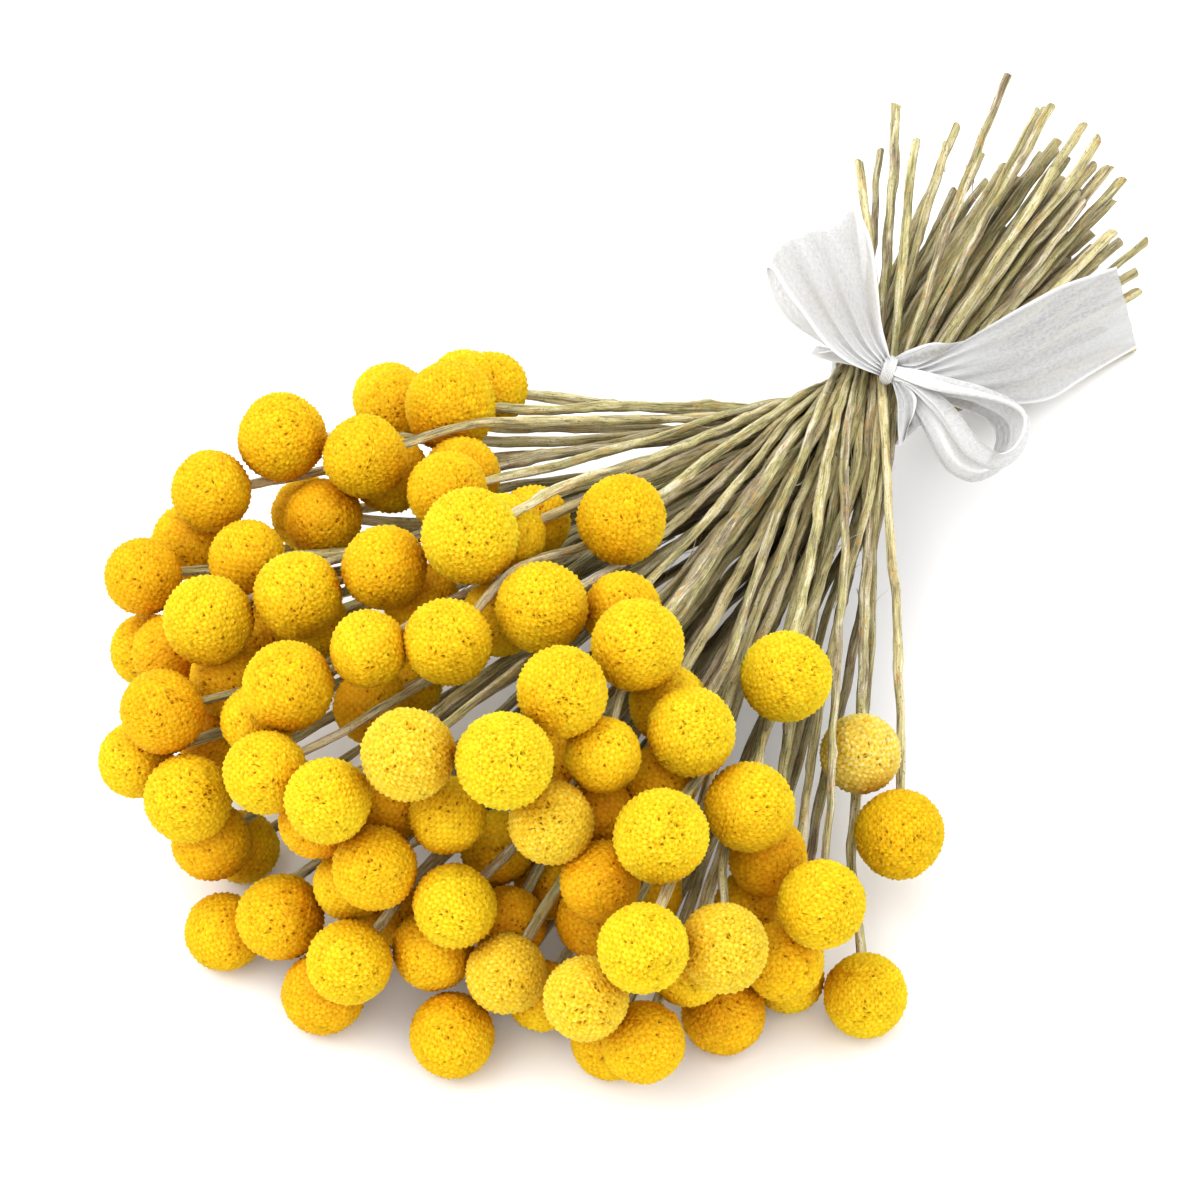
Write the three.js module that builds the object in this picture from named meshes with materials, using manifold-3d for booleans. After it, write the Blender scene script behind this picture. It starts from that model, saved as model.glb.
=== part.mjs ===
// A tied bunch of dried billy buttons (Craspedia), lying on its side.
//
// Ninety-six round flower heads on long straight stems are held by one organza ribbon.
// The stems cross in the tie as a florist's spiral, so they open like an hourglass:
// the heads at -X, the cut ends at +X. Millimetres, +Z up, the surface at z = 0.

import * as THREE from "three";
import { mergeVertices } from "three/addons/utils/BufferGeometryUtils.js";
import { ConvexHull } from "three/addons/math/ConvexHull.js";
import Module from "manifold-3d";

const wasm = await Module();
wasm.setup();

// ---------------------------------------------------------------- driving dimensions

const WAIST_HEIGHT = 38; // centre of the tie above the surface
const WAIST = new THREE.Vector3(0, 0, WAIST_HEIGHT);

// The heads and the bow are laid out as an onlooker sees them, in the plane through the
// tie that faces the onlooker: so far across and so far up from the centre of the tie.
const ONLOOKER_AZIMUTH = -56; // degrees about +Z; at 0 the onlooker looks along +Y
const ONLOOKER_ELEVATION = 47; // degrees above the surface
const ONLOOKER_DISTANCE = 1300; // from the eye to that plane
const TIE_ACROSS = 83.4; // the tie is so far right of the middle of the onlooker's view
const TIE_UP = 61.5; // and so far above it

// Flower heads: across, up, height of the centre above the surface, diameter.
// Each line is a group of heads grown close enough to press on each other.
const HEAD_GROUPS = [
  [[-179, -13, 76, 25.7]],
  [[-154, -19, 84, 24.2], [-146, -25, 61, 23]],
  [[-200, -29, 72, 23.5], [-206, -44, 46, 23]],
  [[-189, -49, 66, 22.2]],
  [[-171, -37, 46, 22.5], [-166, -38, 63, 23]],
  [[-220, -55, 60, 22.5]],
  [[-201, -67, 80, 25.3], [-194, -84, 54, 22], [-199.5, -103.5, 30, 22]],
  [[-174, -60, 82, 24.6], [-170, -69, 57, 22], [-186, -73.5, 41, 21]],
  [[-148, -52, 86, 24.1], [-137, -63, 62, 22]],
  [[-146, -1, 44, 22], [-144, -4, 60, 24]],
  [[-128, -4, 76, 27], [-117, 1, 60, 22.9], [-125, 1, 43, 23]],
  [[-129, -29, 80, 23], [-126, -23, 65, 22.5]],
  [[-121.5, -46, 100, 27], [-110, -41, 86, 23], [-102, -38, 70, 21]],
  [[-77, -38, 84, 25.5]],
  [[-100, -62, 97, 25.5], [-116, -63, 72, 22]],
  [[-78, -66, 81, 22], [-72, -76, 94, 25.5]],
  [[-129, -74, 92, 24.3], [-153, -76, 86, 21.5]],
  [[-141, -85, 50, 21], [-153, -94, 60, 21.5]],
  [[-177, -88, 84, 24.8], [-186, -97.5, 59, 21]],
  [[-219, -76.5, 34, 21.5], [-212, -77, 51, 21.5]],
  [[-214, -96, 68, 23.5], [-222, -110, 44, 21.7]],
  [[-208, -119, 60, 24.4], [-200, -134, 32, 22.3], [-190, -135, 11, 21]],
  [[-181.5, -114, 68, 22.9], [-165, -122, 76, 23.8], [-166, -128, 52, 21]],
  [[-141, -108, 88, 25.3]],
  [[-129, -127, 66, 21.6], [-148, -124, 53, 21]],
  [[-112, -109.5, 90, 26]],
  [[-97, -91, 92, 24.7], [-82, -109, 76, 20.7]],
  [[-94.5, -110, 52, 21], [-84, -125, 52, 21], [-68, -115, 55, 21]],
  [[-65, -94, 66, 22], [-56, -103, 78, 24.7]],
  [[-28, -85, 62, 25.5]],
  [[-5, -108, 34, 22.8]],
  [[6, -132, 24, 25.4]],
  [[-39, -124.5, 62, 24.7], [-34, -139, 38, 21.9], [-38, -154, 14, 21]],
  [[-65, -133, 70, 25.3]],
  [[-98, -128, 70, 23.4], [-83, -146, 52, 22.4]],
  [[-151, -140, 57, 23.2], [-158, -149, 32, 20.5], [-146, -155, 14, 21]],
  [[-196, -161, 12, 22.2], [-179, -157, 28, 24]],
  [[-157, -168, 35, 23.6], [-167, -179, 13, 22.9]],
  [[-129, -152, 50, 22.9], [-132, -168, 23, 22.6]],
  [[-116, -137, 44, 21], [-98, -146, 26, 20.5]],
  [[-109, -156, 32, 21], [-112, -175, 34, 22.7], [-101, -180, 13, 20]],
  [[-128, -191, 13, 23.5]],
  [[-88, -157, 30, 21], [-73, -147, 34, 21]],
  [[-87, -181, 44, 23]],
  [[-80, -193.5, 12, 22.5], [-71, -194, 29, 22.5]],
  [[-70.5, -166.5, 54, 24.4]],
  [[-58.5, -173, 28, 21], [-47, -166, 48, 24.3]],
  [[-43, -183, 13, 23.4]],
  [[-30, -171, 32, 22.5], [-26, -177, 12, 20.5]],
  [[-17, -153, 44, 24.2]],
  [[-7, -179, 13, 23.7]],
];

// How the heads lie in the pile
const PRESS = 1.6; // heads of one group sink this far into each other
const HEAD_GAP = 0.5; // clear space between heads of different groups
const SEAT = 0.8; // a head on the surface is pressed flat by this much
const SEAT_REACH = 3; // heads planned this close to the surface lie on it
const SETTLE_ROUNDS = 120;
const HELD_ROUNDS = 60; // rounds in which each head is also drawn back to its line of sight
const HOLD = 0.1; // share of its sideways drift that a head gives back in such a round
const EAGERNESS = 0.35; // share of a fault in spacing that each head of a pair mends in a round

// Florets: a head is a ball of low pyramids, one on each face of a hull of corner points
const FLORET_CORNERS = 18;
const LAST_CORNER = -0.8; // height of the lowest corner on a ball of radius 1
const VALLEY = 0.89; // a corner between florets lies at this share of the head's radius

// Stems
const STEM_RADIUS = 1.6; // to the corners of a three-sided stem
const TIED_RADIUS = 1.3; // the same where the tie presses the stems together
const STEM_SIDES = 3;
const STEM_STEPS = 6; // straight pieces from the tie to a head
const TIED = 1; // a stem's points: 0 is the cut end, 1 is in the tie
const LAST = TIED + STEM_STEPS; // and the last one is at the head
const TAIL_LENGTH = 111;
const TAIL_SPREAD = 16; // tails are up to this much shorter or longer
const TAIL_NARROWING = 0.31; // the tails fan out sideways by this share of what their heads do
const TAIL_LEAN = 0.04; // and lean toward +Y by this share of their length
const SPLAY_START = 0.36; // a tail that continues a lean above this toward +Y splays out further,
const TAIL_SPLAY = 1.6; // by this many times what it has above it
const TAIL_SLANT = 30; // one that leans toward +Y by its own length is this much shorter
const STEM_CLEARANCE = 0.9; // between a stem and a head it passes
const STEM_GAP = 0.35; // between a stem and its own head
const ROUTE_ROUNDS = 200;
const BEND_EAGERNESS = 0.6; // share of a stem's fault in clearance that it mends in a round
const STIFFNESS = 0.03; // share of its bend that a stem gives back in a round
const GIVE = 0.1; // share of that fault that the head mends
const STEM_SPACE = 0.1; // between stems side by side
const FAR = 60; // stems further apart than this sideways can't touch
const SPREAD_EAGERNESS = 0.3; // share of a fault in that space that each stem mends
const ROUTE_HELD_ROUNDS = 160; // rounds in which the heads are also drawn to their lines of sight
const STEP_CROWDING = 1.35; // above 1, the steps of a stem shorten towards its head
const SLOT_PITCH = 2.72; // between neighbouring stems in the tie
const BUNDLE_RADIUS = 14; // stems' centre lines stay inside this in the tie
const CORE_HALF_LENGTH = 3; // the stems are pressed into one solid this far each way
const CORE_SHRINK = 0.04; // which is this much smaller than their outline

// The ribbon: a band round the waist, gathered, and a bow with two loops and two tails
const RIBBON_THICKNESS = 1; // of the doubled and pleated cloth
const BAND_INSIDE = 17.8; // radius of the band
const BAND_OUTSIDE = 19;
const BAND_WIDTH = 6;
const BAND_SIDES = 12;
const BAND_TILT = 10; // degrees that the top of the band leans toward the heads
const BAND_TURN = 12; // degrees that its -Y side is turned toward them
const KNOT_ANGLE = 109; // degrees round the tie from +Y towards +Z
const KNOT_REACH = 20.8; // from the middle of the tie to the middle of the knot
const KNOT_ALONG = -7; // the knot is so far along the bunch from the middle of the tie
const KNOT_SIZE = [6.5, 9, 7.5]; // across, up and toward the onlooker

// Stations of the bow from the knot, as the onlooker sees them: the middle of the ribbon's
// width, and from there to one edge, each as across, up and toward the onlooker.
const LEFT_LOOP = [
  { middle: [0, 0, 0], toEdge: [1.2, 2, 0] },
  { middle: [-7, 7.6, 4], toEdge: [4.8, 4.6, 3] },
  { middle: [-12, 16.5, 8], toEdge: [8.1, 6.3, 7] },
  { middle: [-16.6, 27.5, 10], toEdge: [10.1, 8.8, 10] },
  { middle: [-23, 40, 3], toEdge: [11.8, 7.3, 13] },
  { middle: [-24, 39, -3], toEdge: [12.9, 6.8, 12.5] },
  { middle: [-21, 29, -8], toEdge: [12.2, 7.3, 11] },
  { middle: [-16, 18.8, -7], toEdge: [9.6, 5.9, 9] },
  { middle: [-1, 1, -2], toEdge: [2, 2, 1] },
];
const RIGHT_LOOP = [
  { middle: [1, -0.6, 0], toEdge: [-0.4, -0.4, -2] },
  { middle: [10.5, -3.7, 5], toEdge: [-1.2, -0.3, -6] },
  { middle: [19, -6.4, 9], toEdge: [-2.4, -0.9, -11] },
  { middle: [32.6, -12, 12], toEdge: [-2.8, -1.4, -14] },
  { middle: [35.4, -21.4, 12], toEdge: [-2.9, -2, -14] },
  { middle: [29.4, -29.8, 12], toEdge: [-3.6, -2.9, -14] },
  { middle: [20.4, -27.6, 12], toEdge: [-4.6, -3.4, -13] },
  { middle: [14.6, -17.8, 9], toEdge: [-4.2, -2.9, -10] },
  { middle: [11.2, -11.8, 6], toEdge: [-3.3, -2.6, -7] },
  { middle: [1.5, -2, 0], toEdge: [-0.5, -0.5, -1.5] },
];
const LONG_TAIL = [
  { middle: [1, 0, 0], toEdge: [0.2, 2, 0] },
  { middle: [8.6, -2, 1], toEdge: [-0.4, 3.5, 1] },
  { middle: [18.5, -1.2, 2], toEdge: [-1, 7.2, 2] },
  { middle: [32.3, 1.5, 3], toEdge: [-2.2, 11.7, 4] },
  { middle: [43.5, 5.3, 3], toEdge: [-3.6, 14, 5] },
  { middle: [53, 10.4, 2], toEdge: [-4, 13.6, 6] },
  { middle: [71, 18.5, -3], toEdge: [-4, 11.6, 8] },
];
const SHORT_TAIL = [
  { middle: [-1.5, 0.3, 0], toEdge: [0.6, 1.2, 1] },
  { middle: [-8, 3, -3], toEdge: [0.9, 1.5, 2] },
  { middle: [-14, 5.1, -6], toEdge: [1.2, 1.8, 3] },
  { middle: [-21, 6.3, -9], toEdge: [1.5, 0.6, 2] },
];

const SEED = 20;
const GROUND_SIZE = 1000; // of the block that cuts the bunch flat on the surface
const WELD = 1e-4; // corners closer than this are one corner
const NEARLY_PARALLEL = 1e-9; // keeps two parallel stems from a division by nothing

// ---------------------------------------------------------------- materials

const HEAD_YELLOWS = ["#f2c21a", "#e9b21c", "#e59c14", "#f5cf3a", "#d9a63a"];
const headMaterials = HEAD_YELLOWS.map(
  (color) => new THREE.MeshStandardMaterial({ color, roughness: 0.95, metalness: 0 }),
);
const stemMaterial = new THREE.MeshStandardMaterial({
  color: "#8f8a63",
  roughness: 0.9,
  metalness: 0,
});
const ribbonMaterial = new THREE.MeshStandardMaterial({
  color: "#f1f1f2",
  roughness: 0.6,
  metalness: 0,
});

// ---------------------------------------------------------------- small helpers

// Seeded random numbers from 0 to 1
function randomFrom(seed) {
  let state = seed;
  return () => {
    state = (state + 0x6d2b79f5) | 0;
    let mixed = Math.imul(state ^ (state >>> 15), 1 | state);
    mixed = (mixed + Math.imul(mixed ^ (mixed >>> 7), 61 | mixed)) ^ mixed;
    return ((mixed ^ (mixed >>> 14)) >>> 0) / 4294967296;
  };
}

// A closed geometry as a manifold-3d solid
function solidOf(geometry) {
  const bare = geometry.clone();
  bare.deleteAttribute("normal");
  bare.deleteAttribute("uv");
  const merged = mergeVertices(bare, WELD);
  return new wasm.Manifold(
    new wasm.Mesh({
      numProp: 3,
      vertProperties: merged.attributes.position.array,
      triVerts: new Uint32Array(merged.index.array),
    }),
  );
}

function solidOfTriangles(points, triangles) {
  return new wasm.Manifold(
    new wasm.Mesh({
      numProp: 3,
      vertProperties: new Float32Array(points.flatMap((p) => [p.x, p.y, p.z])),
      triVerts: new Uint32Array(triangles.flat()),
    }),
  );
}

function geometryOf(solid) {
  const mesh = solid.getMesh();
  const geometry = new THREE.BufferGeometry();
  geometry.setAttribute("position", new THREE.BufferAttribute(mesh.vertProperties, 3));
  geometry.setIndex(new THREE.BufferAttribute(mesh.triVerts, 1));
  geometry.computeVertexNormals();
  return geometry;
}

// ---------------------------------------------------------------- the onlooker's view

const turn = THREE.MathUtils.degToRad(ONLOOKER_AZIMUTH);
const tilt = THREE.MathUtils.degToRad(ONLOOKER_ELEVATION);
const SIGHT_RIGHT = new THREE.Vector3(Math.cos(turn), Math.sin(turn), 0);
const SIGHT_FORWARD = new THREE.Vector3(
  -Math.sin(turn) * Math.cos(tilt),
  Math.cos(turn) * Math.cos(tilt),
  -Math.sin(tilt),
);
const SIGHT_UP = new THREE.Vector3(
  -Math.sin(turn) * Math.sin(tilt),
  Math.cos(turn) * Math.sin(tilt),
  Math.cos(tilt),
);
const EYE = WAIST.clone()
  .addScaledVector(SIGHT_FORWARD, -ONLOOKER_DISTANCE)
  .addScaledVector(SIGHT_RIGHT, -TIE_ACROSS)
  .addScaledVector(SIGHT_UP, -TIE_UP);

// The line of sight through a place in the onlooker's plane, met at a height
function placeSeenAt(across, up, height) {
  const ray = SIGHT_FORWARD.clone()
    .multiplyScalar(ONLOOKER_DISTANCE)
    .addScaledVector(SIGHT_RIGHT, across + TIE_ACROSS)
    .addScaledVector(SIGHT_UP, up + TIE_UP);
  const reach = (height - EYE.z) / ray.z;
  return EYE.clone().addScaledVector(ray, reach);
}

// ---------------------------------------------------------------- flower heads

function plannedHeads() {
  return HEAD_GROUPS.flatMap((rows, group) =>
    rows.map(([across, up, height, diameter], place) => {
      const centre = placeSeenAt(across, up, height);
      const sight = centre.clone().sub(EYE).normalize();
      const radius = diameter / 2;
      const seated = height < radius + SEAT_REACH;
      return { group, place, radius, centre, planned: centre.clone(), sight, seated };
    }),
  );
}

// How far apart two heads want to be, and whether they also draw each other in
function spacing(a, b) {
  const together = a.group === b.group;
  return {
    distance: a.radius + b.radius + (together ? -PRESS : HEAD_GAP),
    linked: together && Math.abs(a.place - b.place) === 1,
  };
}

// Each pair of heads that stands too close, or is grown together too loosely, mends its spacing
function spaceHeads(heads, moves) {
  heads.forEach((a, i) => {
    for (let j = i + 1; j < heads.length; j += 1) {
      const b = heads[j];
      const { distance, linked } = spacing(a, b);
      const apart = b.centre.clone().sub(a.centre);
      const missing = distance - apart.length();
      if (missing > 0 || linked) {
        apart.multiplyScalar((EAGERNESS * missing) / apart.length());
        moves[j].add(apart);
        moves[i].sub(apart);
      }
    }
  });
}

function moveHeads(heads, moves) {
  heads.forEach((head, i) => {
    head.centre.add(moves[i]);
    if (head.seated) head.centre.z = head.radius - SEAT;
    head.centre.z = Math.max(head.centre.z, head.radius - SEAT);
  });
}

// Each head is drawn back to its line of sight
function holdHeads(heads) {
  heads.forEach((head) => {
    const drift = head.centre.clone().sub(head.planned);
    drift.addScaledVector(head.sight, -drift.dot(head.sight));
    head.centre.addScaledVector(drift, -HOLD);
  });
}

function settle(heads) {
  for (let round = 0; round < SETTLE_ROUNDS; round += 1) {
    const moves = heads.map(() => new THREE.Vector3());
    spaceHeads(heads, moves);
    if (round < HELD_ROUNDS) holdHeads(heads);
    moveHeads(heads, moves);
  }
}

// ---------------------------------------------------------------- stems in the tie

// Places of the stems in the tie, row by row from the top, packed like round rods
function slotRows(count) {
  const rowHeight = (SLOT_PITCH * Math.sqrt(3)) / 2;
  const half = Math.ceil(BUNDLE_RADIUS / rowHeight);
  const rows = [];
  for (let row = half; row >= -half; row -= 1) {
    const z = row * rowHeight;
    const shift = row % 2 === 0 ? 0 : SLOT_PITCH / 2;
    const across = [];
    for (let step = -half - 1; step <= half + 1; step += 1) across.push(step * SLOT_PITCH + shift);
    rows.push(across.map((y) => ({ y, z, fromMiddle: y * y + z * z })));
  }
  const kept = new Set(
    rows
      .flat()
      .sort((a, b) => a.fromMiddle - b.fromMiddle || b.z - a.z || a.y - b.y)
      .slice(0, count),
  );
  return rows.map((row) => row.filter((slot) => kept.has(slot))).filter((row) => row.length > 0);
}

// The florist's spiral: stems of the heads at -Y run over the top of the tie and those at +Y
// under it, and in each layer the lowest heads' stems lie at -Y, so that none cross in the tie.
function shareSlots(heads) {
  const sideways = (head) => head.centre.y / -head.centre.x;
  const rise = (head) => (head.centre.z - WAIST_HEIGHT) / -head.centre.x;
  const inTurn = [...heads].sort((a, b) => sideways(a) - sideways(b));
  slotRows(heads.length).forEach((row) => {
    const layer = inTurn.splice(0, row.length).sort((a, b) => rise(a) - rise(b));
    layer.forEach((head, i) => {
      head.slot = new THREE.Vector3(0, row[i].y, WAIST_HEIGHT + row[i].z);
    });
  });
}

// A stem's radius at each of its points: it is pressed thinner in the tie
const STEM_RADII = Array.from({ length: LAST + 1 }, (_, step) =>
  step === TIED ? TIED_RADIUS : STEM_RADIUS,
);

function radiusAt(step, share) {
  return THREE.MathUtils.lerp(STEM_RADII[step], STEM_RADII[step + 1], share);
}

// The end of a stem just under its own head, coming from the point before it
function stemEnd(head, before) {
  const toHead = head.centre.clone().sub(before).normalize();
  return head.centre.clone().addScaledVector(toHead, -VALLEY * head.radius - STEM_GAP);
}

// The point of a stretch that is nearest to a place, as a share of the stretch
function shareNearest(from, to, place) {
  const along = to.clone().sub(from);
  return THREE.MathUtils.clamp(place.clone().sub(from).dot(along) / along.lengthSq(), 0, 1);
}

// Stems start straight: from the cut end through the tie, then in shorter and shorter steps
// to the head
function startRoutes(heads, random) {
  heads.forEach((head) => {
    const end = stemEnd(head, head.slot);
    const fan = head.slot.clone().sub(end);
    const lean = fan.y / fan.x;
    const splay = TAIL_SPLAY * Math.max(lean - SPLAY_START, 0);
    const tailLean = TAIL_NARROWING * lean + TAIL_LEAN + splay;
    fan.y = tailLean * fan.x;
    const slant = TAIL_SLANT * Math.max(tailLean, 0);
    const tail = TAIL_LENGTH + TAIL_SPREAD * (2 * random() - 1) - slant;
    const cutEnd = fan.setLength(tail).add(head.slot);
    head.route = [cutEnd];
    for (let step = 0; step <= STEM_STEPS; step += 1) {
      const share = 1 - (1 - step / STEM_STEPS) ** STEP_CROWDING;
      head.route.push(head.slot.clone().lerp(end, share));
    }
  });
}

// A stem that passes a head too closely bends away from it, and the head gives way a little
function passHeads(heads, bends, moves) {
  heads.forEach((head, h) => {
    for (let step = TIED; step < LAST; step += 1) {
      heads.forEach((other, i) => {
        if (other === head) return;
        const share = shareNearest(head.route[step], head.route[step + 1], other.centre);
        const away = head.route[step].clone().lerp(head.route[step + 1], share);
        away.sub(other.centre);
        const missing = other.radius + STEM_RADIUS + STEM_CLEARANCE - away.length();
        if (missing <= 0) return;
        away.setLength(missing);
        bends[h][step].addScaledVector(away, BEND_EAGERNESS * (1 - share));
        bends[h][step + 1].addScaledVector(away, BEND_EAGERNESS * share);
        moves[i].addScaledVector(away, -GIVE);
      });
    }
  });
}

// Where two stretches come nearest to each other, as shares of their lengths
function sharesNearest(a, b, c, d) {
  const first = b.clone().sub(a);
  const second = d.clone().sub(c);
  const between = a.clone().sub(c);
  const firstSquare = first.lengthSq();
  const secondSquare = second.lengthSq();
  const mixed = first.dot(second);
  const spread = firstSquare * secondSquare - mixed * mixed;
  const start = mixed * second.dot(between) - secondSquare * first.dot(between);
  const s = THREE.MathUtils.clamp(start / Math.max(spread, NEARLY_PARALLEL), 0, 1);
  const t = THREE.MathUtils.clamp((mixed * s + second.dot(between)) / secondSquare, 0, 1);
  const again = (mixed * t - first.dot(between)) / firstSquare;
  return [THREE.MathUtils.clamp(again, 0, 1), t];
}

// Stems lie beside each other: the same stretch of two stems keeps a stem's width apart
function spreadStems(heads, bends) {
  for (let i = 0; i < heads.length; i += 1) {
    for (let j = i + 1; j < heads.length; j += 1) {
      for (let step = 0; step < LAST; step += 1) {
        const a = heads[i].route;
        const b = heads[j].route;
        if (Math.abs(a[step].y - b[step].y) > FAR && Math.abs(a[step + 1].y - b[step + 1].y) > FAR)
          continue;
        const [s, t] = sharesNearest(a[step], a[step + 1], b[step], b[step + 1]);
        const onA = a[step].clone().lerp(a[step + 1], s);
        const apart = b[step].clone().lerp(b[step + 1], t).sub(onA);
        const widths = radiusAt(step, s) + radiusAt(step, t);
        const missing = widths + STEM_SPACE - apart.length();
        if (missing <= 0) continue;
        apart.setLength(SPREAD_EAGERNESS * missing);
        bends[i][step].addScaledVector(apart, s - 1);
        bends[i][step + 1].addScaledVector(apart, -s);
        bends[j][step].addScaledVector(apart, 1 - t);
        bends[j][step + 1].addScaledVector(apart, t);
      }
    }
  }
}

// A stem is springy: each of its points is drawn to the middle between its neighbours
function straightenStems(heads, bends) {
  heads.forEach(({ route }, h) => {
    for (let step = 1; step < LAST; step += 1) {
      const middle = route[step - 1].clone().add(route[step + 1]).multiplyScalar(0.5);
      bends[h][step].addScaledVector(middle.sub(route[step]), STIFFNESS);
    }
  });
}

function moveStems(heads, bends) {
  heads.forEach((head, h) => {
    for (let step = 0; step < LAST; step += 1) {
      if (step === TIED) continue;
      head.route[step].add(bends[h][step]);
      head.route[step].z = Math.max(head.route[step].z, STEM_RADIUS);
    }
    head.route[LAST].copy(stemEnd(head, head.route[LAST - 1]));
  });
}

function routeStems(heads, random) {
  startRoutes(heads, random);
  for (let round = 0; round < ROUTE_ROUNDS; round += 1) {
    const moves = heads.map(() => new THREE.Vector3());
    const bends = heads.map((head) => head.route.map(() => new THREE.Vector3()));
    spaceHeads(heads, moves);
    passHeads(heads, bends, moves);
    spreadStems(heads, bends);
    straightenStems(heads, bends);
    if (round < ROUTE_HELD_ROUNDS) holdHeads(heads);
    moveHeads(heads, moves);
    moveStems(heads, bends);
  }
}

// ---------------------------------------------------------------- flower head solids

// Corner points on a ball of radius 1: a spiral from the top down, and the stem's foot below
function headCorners() {
  const goldenTurn = Math.PI * (3 - Math.sqrt(5));
  const corners = [];
  for (let i = 0; i < FLORET_CORNERS; i += 1) {
    const z = 1 - ((1 - LAST_CORNER) * i) / (FLORET_CORNERS - 1);
    const ring = Math.sqrt(1 - z * z);
    const angle = i * goldenTurn;
    corners.push(new THREE.Vector3(ring * Math.cos(angle), ring * Math.sin(angle), z));
  }
  corners.push(new THREE.Vector3(0, 0, -1));
  return corners;
}

// The triangles of the hull round some points, as three indices each
function hullTriangles(corners) {
  const hull = new ConvexHull().setFromPoints(corners);
  return hull.faces.map((face) => {
    const triangle = [];
    let edge = face.edge;
    do {
      triangle.push(corners.indexOf(edge.head().point));
      edge = edge.next;
    } while (edge !== face.edge);
    return triangle;
  });
}

function triangleHolds(a, b, c, direction) {
  const inside = (p, q) => p.clone().cross(q).dot(direction) >= 0;
  return inside(a, b) && inside(b, c) && inside(c, a);
}

// One head: a floret rises on each triangle between the corners, to its middle, or to a
// place where the head has to meet another head or the surface. The foot is bare otherwise.
function headSolid(head, random) {
  const toTip = head.centre.clone().sub(head.route[LAST]).normalize();
  const stand = new THREE.Quaternion()
    .setFromUnitVectors(new THREE.Vector3(0, 0, 1), toTip)
    .multiply(
      new THREE.Quaternion().setFromAxisAngle(new THREE.Vector3(0, 0, 1), random() * 2 * Math.PI),
    );
  const corners = HEAD_CORNERS.map((corner) => corner.clone().applyQuaternion(stand));
  const foot = corners.length - 1;
  const points = corners.map((corner) => corner.clone().multiplyScalar(VALLEY * head.radius));
  const triangles = [];
  HEAD_TRIANGLES.forEach(([a, b, c]) => {
    const met = head.meets.find((d) => triangleHolds(corners[a], corners[b], corners[c], d));
    if (!met && [a, b, c].includes(foot)) {
      triangles.push([a, b, c]);
      return;
    }
    const middle = corners[a].clone().add(corners[b]).add(corners[c]).normalize();
    points.push((met ?? middle).clone().multiplyScalar(head.radius));
    const tip = points.length - 1;
    triangles.push([a, b, tip], [b, c, tip], [c, a, tip]);
  });
  return solidOfTriangles(
    points.map((point) => point.add(head.centre)),
    triangles,
  );
}

// The directions in which a head has to reach out: to the heads it is grown together with,
// and down to the surface
function findMeetings(heads) {
  heads.forEach((head) => {
    head.meets = heads
      .filter((other) => other !== head && spacing(head, other).linked)
      .map((other) => other.centre.clone().sub(head.centre).normalize());
    if (head.centre.z < head.radius) head.meets.push(new THREE.Vector3(0, 0, -1));
  });
}

// A block under the surface, which cuts flat what would sink into it
function groundSolid() {
  const block = new THREE.BoxGeometry(GROUND_SIZE, GROUND_SIZE, GROUND_SIZE);
  return solidOf(block.translate(0, 0, -GROUND_SIZE / 2));
}

function groupSolid(members, random) {
  return members
    .map((head) => headSolid(head, random))
    .reduce((joined, solid) => joined.add(solid))
    .subtract(groundSolid());
}

// ---------------------------------------------------------------- stem solids

// A closed tube of a few flat sides along some points; its ends are cut square
function tubeSolid(route, radii, sides, spin) {
  const points = [];
  let side = new THREE.Vector3(0, 0, 1);
  route.forEach((place, step) => {
    const before = route[Math.max(step - 1, 0)];
    const after = route[Math.min(step + 1, route.length - 1)];
    const along = after.clone().sub(before).normalize();
    side = side.clone().addScaledVector(along, -side.dot(along)).normalize();
    const other = along.clone().cross(side);
    for (let i = 0; i < sides; i += 1) {
      const angle = spin + (2 * Math.PI * i) / sides;
      points.push(
        place
          .clone()
          .addScaledVector(side, radii[step] * Math.cos(angle))
          .addScaledVector(other, radii[step] * Math.sin(angle)),
      );
    }
  });
  const triangles = [];
  for (let step = 0; step < route.length - 1; step += 1) {
    for (let i = 0; i < sides; i += 1) {
      const here = step * sides + i;
      const next = step * sides + ((i + 1) % sides);
      triangles.push([here, next, here + sides], [next, next + sides, here + sides]);
    }
  }
  const last = (route.length - 1) * sides;
  for (let i = 1; i < sides - 1; i += 1) {
    triangles.push([0, i + 1, i], [last, last + i, last + i + 1]);
  }
  return solidOfTriangles(points, triangles);
}

// Where a stem's centre line is at a distance along the bunch
function placeAlong(route, x) {
  const step = Math.max(
    route.findIndex((place) => place.x <= x),
    1,
  );
  const from = route[step - 1];
  const to = route[step];
  return from.clone().lerp(to, (x - from.x) / (to.x - from.x));
}

// The stems inside the tie, pressed together; the outermost stand out by half their width
function packedSolid(heads) {
  const corners = [CORE_HALF_LENGTH, -CORE_HALF_LENGTH].flatMap((x) =>
    heads.map((head) => {
      const place = placeAlong(head.route, x);
      return place.lerp(new THREE.Vector3(x, 0, WAIST_HEIGHT), CORE_SHRINK);
    }),
  );
  return solidOfTriangles(corners, hullTriangles(corners));
}

function stemsSolid(heads, random) {
  return heads
    .map((head) => tubeSolid(head.route, STEM_RADII, STEM_SIDES, random() * Math.PI))
    .reduce((joined, stem) => joined.add(stem), packedSolid(heads))
    .subtract(groundSolid());
}

// ---------------------------------------------------------------- ribbon solids

// A direction given across, up and toward the onlooker
function sightVector([across, up, toward]) {
  return new THREE.Vector3()
    .addScaledVector(SIGHT_RIGHT, across)
    .addScaledVector(SIGHT_UP, up)
    .addScaledVector(SIGHT_FORWARD, -toward);
}

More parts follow.
